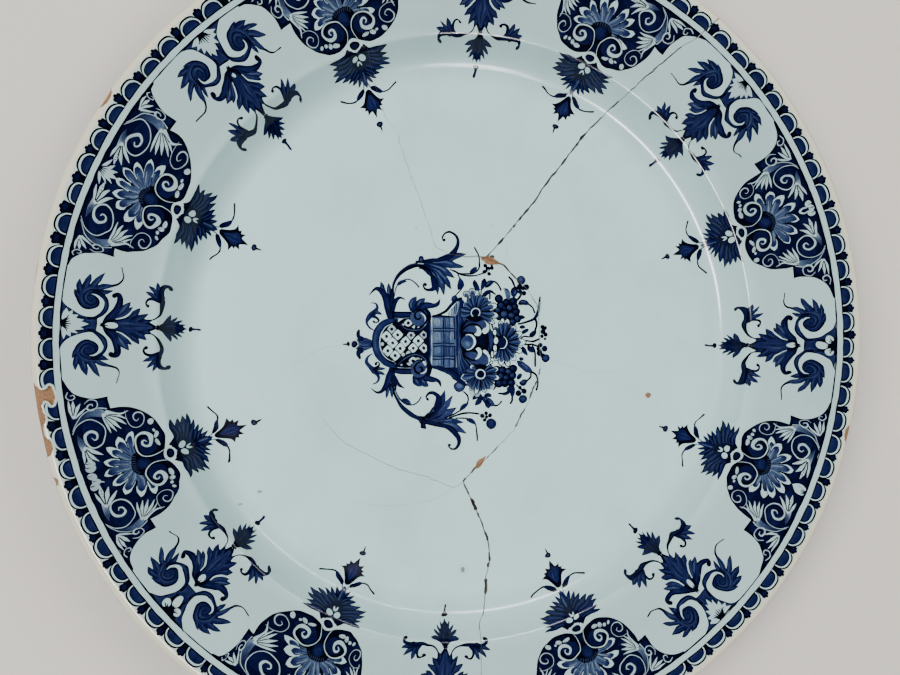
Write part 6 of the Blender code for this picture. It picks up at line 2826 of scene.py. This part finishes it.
    def mesh(self, verts: Array, faces: Array, slots: Array, parts: Array,
             colours: Array) -> bpy.types.Object:
        """Put the arrays into a mesh and its object.

        Args:
            verts: points, in millimetres.
            faces: triangles.
            slots: 0 for glaze, 1 for clay.
            parts: 0 for the face, 1 for the wall, 2 for the underside.
            colours: the paint at each corner.

        Returns:
            The object.
        """
        name = f"glazed_{self.node}"
        mesh = bpy.data.meshes.new(name)
        mesh.vertices.add(len(verts))
        mesh.vertices.foreach_set("co", (verts * MM).ravel())
        mesh.loops.add(faces.size)
        mesh.loops.foreach_set("vertex_index", faces.ravel().astype(np.int32))
        mesh.polygons.add(len(faces))
        mesh.polygons.foreach_set("loop_start", np.arange(0, faces.size, 3, dtype=np.int32))
        mesh.polygons.foreach_set("material_index", slots.astype(np.int32))
        mesh.update(calc_edges=True)
        paint = mesh.color_attributes.new("paint", "FLOAT_COLOR", "CORNER")
        paint.data.foreach_set("color", colours.ravel())
        uv = mesh.uv_layers.new(name="OFBake")
        uv.data.foreach_set("uv", self.flattened(verts, faces, parts).ravel())
        mesh.polygons.foreach_set("use_smooth", np.ones(len(faces), bool))
        mesh.normals_split_custom_set(
            self.normals(verts, faces, slots, parts).reshape(-1, 3).tolist())
        mesh.validate()
        piece = in_scene(name, mesh)
        LOG.info("%s: %d triangles, %d of face, %d of wall, %d of underside", piece.name,
                 len(faces), *(int((parts == k).sum()) for k in range(3)))
        return piece


# ---------------------------------------------------------------- finishes
def add(tree: bpy.types.NodeTree, kind: str, links: dict | None = None,
        stops: Sequence[tuple[float, str]] = (), **settings: object) -> bpy.types.Node:
    """Add one node, set it and link it.

    Args:
        tree: node tree.
        kind: the node's type name.
        links: input name or number to a value or to the socket that feeds it.
        stops: places and hex colours, for a node that holds a row of colours.
        settings: properties of the node.

    Returns:
        The node.
    """
    item = tree.nodes.new(kind)
    for name, value in settings.items():
        setattr(item, name, value)
    for name, value in (links or {}).items():
        socket = item.inputs[name]
        if isinstance(value, bpy.types.NodeSocket):
            tree.links.new(value, socket)
        else:
            socket.default_value = value
    for number, (spot, colour) in enumerate(stops):
        elements = item.color_ramp.elements
        element = elements[number] if number < len(elements) else elements.new(1.0)
        element.position, element.color = spot, linear(colour)
    return item


def empty_material(name: str) -> tuple[bpy.types.Material, bpy.types.NodeTree]:
    """A new material without nodes, and its tree.

    Args:
        name: the material's name.

    Returns:
        The material and the tree.
    """
    material = bpy.data.materials.new(name)
    material.use_nodes = True
    material.node_tree.nodes.clear()
    return material, material.node_tree


@dataclass(frozen=True)
class TinGlaze:
    """Tin-opacified lead glaze painted in cobalt, on thrown earthenware.

    It gives the eye a cool, soft white with slow unevenness, blue that goes
    from grey wash to near black as the oxide lies thicker, fine pinholes, and
    a gloss that a slightly wavy surface breaks into soft highlights.
    """

    stops: tuple[tuple[float, str], ...] = (
        (0.0, "b0cece"), (0.16, "87979f"), (0.34, "4b5f7b"), (0.48, "324260"),
        (0.64, "1f294f"), (0.76, "11183f"), (0.86, "060a30"), (1.0, "01020f"))
    clouds: tuple[tuple[float, str], ...] = ((0.3, "f2f4f3"), (0.5, "fdfdfd"), (0.7, "ffffff"))
    rim_greying: tuple[tuple[float, str], ...] = ((0.0, "ffffff"), (1.0, "e6e3e4"))
    blotches: tuple[tuple[float, float, float], ...] = (
        # size in millimetres, detail, roughness: pooling, its grain, clouds in
        # the white, film that varies the gloss, waves left by the brushed glaze
        (5.0, 3.0, 0.5), (1.1, 2.0, 0.5), (70.0, 3.0, 0.6), (9.0, 3.0, 0.5), (4.0, 2.0, 0.5))
    pooling: float = 1.5         # how much the wash varies
    greying_radii: Point = (205.0, 222.0)    # radii between which the rim's white turns darker and greyer
    speck_room: float = 17.0     # millimetres of glaze for each speck
    speck_size: float = 0.022    # share of that room
    speck_strength: float = 0.55
    iron: str = "4a3c34"
    cream: str = "d3ccb0"
    # dark brown of stains, hairlines and dirt, and of the painted shade in the breaks
    stain_and_shade: str = "2c1c14"
    roughness: float = 0.16
    ior: float = 1.52
    specular: float = 0.28       # an old glaze, dulled a little by use

    def material(self) -> bpy.types.Material:
        """Build the material.

        Returns:
            The material.
        """
        material, tree = empty_material("tin_glaze_painted_in_cobalt")
        place = add(tree, "ShaderNodeTexCoord").outputs["Object"]
        paint = add(tree, "ShaderNodeVertexColor", layer_name="paint").outputs["Color"]
        parts = add(tree, "ShaderNodeSeparateColor", {"Color": paint})
        cobalt, stain_and_shade, cream = (parts.outputs[k] for k in range(3))
        pool, drift, cloud, film, wave = (
            add(tree, "ShaderNodeTexNoise", {
                "Vector": place, "Scale": 1 / (size * MM), "Detail": detail,
                "Roughness": rough}).outputs["Fac"]
            for size, detail, rough in self.blotches)

        # pooling: the wash varies most where it is half strong
        pool = add(tree, "ShaderNodeMix", {0: 0.38, 2: pool, 3: drift}).outputs[0]
        pool = add(tree, "ShaderNodeMath", {0: pool, 1: 0.5}, operation="SUBTRACT").outputs[0]
        bare = add(tree, "ShaderNodeMath", {0: 1.08, 1: cobalt}, operation="SUBTRACT").outputs[0]
        for factor in (cobalt, bare, self.pooling):
            pool = add(tree, "ShaderNodeMath", {0: pool, 1: factor},
                       operation="MULTIPLY").outputs[0]
        strength = add(tree, "ShaderNodeMath", {0: cobalt, 1: pool}, operation="ADD",
                       use_clamp=True).outputs[0]
        mixed = add(tree, "ShaderNodeValToRGB", {"Fac": strength}, self.stops).outputs[0]

        # slow unevenness of the white, and a darker, greyer white on the rim
        far = add(tree, "ShaderNodeVectorMath", {0: place}, operation="LENGTH").outputs["Value"]
        far = add(tree, "ShaderNodeMapRange", {
            0: far, 1: self.greying_radii[0] * MM, 2: self.greying_radii[1] * MM}).outputs[0]
        # the rim's white is made darker and greyer outwards from the first radius to the second
        for factor, stops in ((cloud, self.clouds), (far, self.rim_greying)):
            veil = add(tree, "ShaderNodeValToRGB", {"Fac": factor}, stops).outputs[0]
            mixed = add(tree, "ShaderNodeMix", {0: 1.0, 6: mixed, 7: veil},
                        data_type="RGBA", blend_type="MULTIPLY").outputs[2]

        # pinholes and specks of iron, half a millimetre wide, then lip, then stains and dirt with
        # the painted shade of the breaks
        speck = add(tree, "ShaderNodeTexVoronoi", {
            "Vector": place, "Scale": 1 / (self.speck_room * MM),
            "Randomness": 1.0}).outputs["Distance"]
        speck = add(tree, "ShaderNodeMath", {0: speck, 1: self.speck_size},
                    operation="LESS_THAN").outputs[0]
        speck = add(tree, "ShaderNodeMath", {0: speck, 1: self.speck_strength},
                    operation="MULTIPLY").outputs[0]
        for share, colour in ((speck, self.iron), (cream, self.cream), (stain_and_shade, self.stain_and_shade)):
            mixed = add(tree, "ShaderNodeMix", {0: share, 6: mixed, 7: linear(colour)},
                        data_type="RGBA").outputs[2]

        rough = add(tree, "ShaderNodeMath", {0: film, 1: 0.08, 2: self.roughness - 0.04},
                    operation="MULTIPLY_ADD").outputs[0]
        bump = add(tree, "ShaderNodeBump", {
            "Height": wave, "Strength": 0.35, "Distance": 0.02 * MM})
        shader = add(tree, "ShaderNodeBsdfPrincipled", {
            "Base Color": mixed, "Roughness": rough, "IOR": self.ior,
            "Specular IOR Level": self.specular, "Normal": bump.outputs[0]})
        add(tree, "ShaderNodeOutputMaterial", {"Surface": shader.outputs[0]})
        return material


@dataclass(frozen=True)
class Biscuit:
    """Fired calcareous earthenware, laid bare where the ware broke or chipped.

    It gives the eye a matt buff-orange with a grainy break, coloured darker
    where the grain that bumps it is low.
    """

    colours: tuple[tuple[float, str], ...] = (
        (0.2, "3e281a"), (0.42, "6e4a2a"), (0.6, "86603c"), (0.85, "a5825e"))
    roughness: float = 0.92

    def material(self) -> bpy.types.Material:
        """Build the material.

        Returns:
            The material.
        """
        material, tree = empty_material("biscuit_earthenware")
        place = add(tree, "ShaderNodeTexCoord").outputs["Object"]
        grain = add(tree, "ShaderNodeTexNoise", {
            "Vector": place, "Scale": 1 / (0.9 * MM), "Detail": 4.0,
            "Roughness": 0.65}).outputs["Fac"]
        bump = add(tree, "ShaderNodeBump", {
            "Height": grain, "Strength": 0.8, "Distance": 0.2 * MM})
        # the colour follows the grain of the bump: darker where it is low, in the hollows
        shader = add(tree, "ShaderNodeBsdfPrincipled", {
            "Base Color": add(tree, "ShaderNodeValToRGB", {"Fac": grain},
                              self.colours).outputs[0],
            "Roughness": self.roughness, "IOR": 1.5, "Normal": bump.outputs[0]})
        add(tree, "ShaderNodeOutputMaterial", {"Surface": shader.outputs[0]})
        return material


# ---------------------------------------------------------------- studio
@dataclass(frozen=True)
class Studio:
    """Plain pale floor, soft lights and the camera."""

    lens: float = 27.04
    stand: tuple[float, float, float] = (-48.7, -2.8, 504.4)
    lean_y: float = -4.7122      # degrees
    lean_x: float = 0.3072
    floor: str = "c8c1b9"
    sky: str = "e8ecf0"
    sky_strength: float = 0.11   # as a light
    backdrop_strength: float = 0.9   # as the camera sees it
    boxes: tuple[tuple[str, float, float, Point, float], ...] = (
        # soft boxes that only light: name, azimuth, tilt from upright, size, watts
        ("left_box", 165.0, 40.0, (2600.0, 1800.0), 222.0),
        ("right_box", 20.0, 50.0, (2600.0, 1800.0), 116.0),
        ("near_box", 275.0, 48.0, (2200.0, 1400.0), 112.0),
        ("far_box", 95.0, 52.0, (2600.0, 1600.0), 86.0),
    )
    strips: tuple[tuple[str, float, float, Point, float], ...] = (
        # thin windows that only show as bright lines in the glaze
        ("window", 217.0, 33.0, (2900.0, 260.0), 440.0),
        ("near_strip", 275.0, 30.0, (800.0, 110.0), 54.0),
        ("near_strip_low", 276.0, 38.0, (900.0, 200.0), 80.0),
        ("far_strip", 55.0, 45.0, (2400.0, 100.0), 66.0),
        ("far_patch", 93.0, 43.0, (1500.0, 420.0), 120.0),
    )
    away: float = 4500.0         # how far the lights stand

    def build(self) -> None:
        """Make the whole studio."""
        self.camera()
        self.ground()
        world = bpy.data.worlds.new("studio")
        bpy.context.scene.world = world
        world.use_nodes = True
        tree = world.node_tree
        tree.nodes["Background"].inputs["Color"].default_value = linear(self.sky)
        tree.nodes["Background"].inputs["Strength"].default_value = self.sky_strength
        # behind the dish the air looks as pale as the floor
        seen = add(tree, "ShaderNodeLightPath").outputs["Is Camera Ray"]
        pale = add(tree, "ShaderNodeBackground", {
            "Color": linear(self.floor), "Strength": self.backdrop_strength})
        air = add(tree, "ShaderNodeMixShader", {
            0: seen, 1: tree.nodes["Background"].outputs[0], 2: pale.outputs[0]})
        tree.links.new(air.outputs[0], tree.nodes["World Output"].inputs["Surface"])
        world.cycles_visibility.glossy = False     # keeps the dark blue clear of haze
        for setting in self.boxes:
            self.softbox(*setting).visible_glossy = False
        for setting in self.strips:
            self.softbox(*setting).visible_diffuse = False

    def camera(self) -> None:
        """The camera above the dish, looking almost straight down."""
        data = bpy.data.cameras.new("camera")
        data.lens, data.sensor_width = self.lens, 36.0
        data.clip_start, data.clip_end = 0.01, 20.0
        eye = in_scene("camera", data)
        eye.matrix_world = (
            Matrix.Translation(Vector(self.stand) * MM)
            @ Matrix.Rotation(math.radians(self.lean_y), 4, "Y")
            @ Matrix.Rotation(math.radians(self.lean_x), 4, "X"))
        bpy.context.scene.camera = eye

    def ground(self) -> None:
        """A wide matt floor under the foot ring."""
        half = 3.0                             # metres
        mesh = bpy.data.meshes.new("floor")
        mesh.from_pydata([(-half, -half, 0), (half, -half, 0), (half, half, 0),
                          (-half, half, 0)], [], [(0, 1, 2, 3)])
        floor = in_scene("floor", mesh)
        material = bpy.data.materials.new("matt_paper")
        material.use_nodes = True
        shader = material.node_tree.nodes["Principled BSDF"]
        shader.inputs["Base Color"].default_value = linear(self.floor)
        shader.inputs["Roughness"].default_value = 0.95
        mesh.materials.append(material)

    def softbox(self, name: str, azimuth: float, tilt: float, size: Point,
                power: float) -> bpy.types.Object:
        """A rectangular light that faces the middle of the dish.

        Args:
            name: light's name.
            azimuth: where it stands round the dish, in degrees from the right.
            tilt: how far it is from straight above, in degrees.
            size: width and height, in millimetres.
            power: watts.

        Returns:
            The light's object.
        """
        data = bpy.data.lights.new(name, "AREA")
        data.shape, data.energy = "RECTANGLE", power
        data.size, data.size_y = size[0] * MM, size[1] * MM
        light = in_scene(name, data)
        turn, lean = math.radians(azimuth), math.radians(tilt)
        where = Vector((math.sin(lean) * math.cos(turn), math.sin(lean) * math.sin(turn),
                        math.cos(lean))) * self.away * MM
        light.matrix_world = (Matrix.Translation(where)
                              @ (-where).to_track_quat("-Z", "Y").to_matrix().to_4x4())
        return light


# ---------------------------------------------------------------- the dish
@dataclass(frozen=True)
class Dish:
    """The whole dish: its painting, damage and three fragments."""

    section: Section = Section()
    ripple: Ripple = Ripple()
    damage: Damage = Damage()
    breakage: Breakage = Breakage()
    cartouches: tuple[Place, ...] = (
        Place(20.46, 0.2, -38.5, 38.9, 47.8, 4.0, 95.9, 1.3, 8, 1),
        Place(65.46, 1.3, -39.5, 39.8, 47.8, 1.7, 94.0, 1.6, 9, 0),
        Place(110.46, 1.1, -42.4, 40.7, 49.3, 2.8, 98.9, 2.0, 9, 0),
        Place(155.46, 3.7, -47.4, 48.3, 49.0, 5.9, 100.7, 3.8, 9, 2),
        Place(200.46, 4.3, -41.5, 43.7, 48.7, 8.3, 102.4, 3.2, 9, 3),
        Place(245.46, -4.3, -51.5, 32.8, 47.6, -0.4, 93.9, -3.6, 9, 0),
        Place(290.46, 2.8, -39.0, 42.0, 44.8, 5.9, 91.5, 3.4, 9, 0),
        Place(335.46, 4.8, -35.9, 43.9, 47.2, 2.6, 94.1, 6.2, 9, 0),
    )
    foliates: tuple[Place, ...] = (
        Place(-2.04, 3.2, 0, 0, 0, 0.9, 70.7, 1.0),
        Place(42.96, -3.5, 0, 0, 0, -4.3, 67.0, 0.0, flower=1),
        Place(87.96, -4.3, 0, 0, 0, -4.3, 68.0, 0.0, flower=1),
        Place(132.96, -6.6, 0, 0, 0, -3.5, 74.1, 0.55, flower=1),
        Place(177.96, 0.6, 0, 0, 0, 1.7, 69.8, 1.1, flower=1),
        Place(222.96, -2.6, 0, 0, 0, -3.7, 67.8, 0.9),
        Place(267.96, -6.5, 0, 0, 0, -7.2, 65.0, 0.0, flower=1),
        Place(312.96, -1.7, 0, 0, 0, -3.9, 69.8, 0.9, flower=1),
    )

    def painting(self) -> list[Stroke]:
        """Every stroke on the dish, in the order of painting.

        Returns:
            The strokes.
        """
        strokes: list[Stroke] = []
        for motif, places, hand, seed in ((Foliate(), self.foliates, 50, 100),
                                          (Cartouche(), self.cartouches, 20, 200)):
            for k, place in enumerate(places):
                brush = Brush(motif.frame(place, hand + k), seed + k, strokes=strokes)
                motif.paint(brush, place)
        ScallopBorder().paint(Brush(bent(0.0), seed=7, strokes=strokes))
        FlowerBasket().paint(Brush(unsteady(seed=9, amount=0.16), seed=8, strokes=strokes))
        Wear().paint(Brush(lambda p: p, seed=12, strokes=strokes), self.breakage, self.damage)
        return strokes

    def build(self) -> None:
        """Make the three fragments and stand each for its solid."""
        outlines = self.breakage.fragments(self.damage.edge)
        face = PaintedFace(outlines, self.painting(), self.damage, self.section)
        plan, triangles, owner = face.triangulate()
        paint = face.painted(plan[triangles])
        glaze, clay = TinGlaze().material(), Biscuit().material()
        for number, node in enumerate(outlines):
            mine = owner == number
            fragment = Fragment(node, self.section, self.ripple, self.damage)
            piece = fragment.build(plan, triangles[mine], paint[mine])
            piece.data.materials.append(glaze)
            piece.data.materials.append(clay)
            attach(piece, "root")
            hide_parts(node)


def main() -> None:
    """Build the dish and the studio; each fragment logs how many triangles it has."""
    logging.basicConfig(level=logging.INFO, format="%(name)s: %(message)s")
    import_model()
    Dish().build()
    Studio().build()
    bpy.context.view_layer.update()


if __name__ == "__main__":
    main()
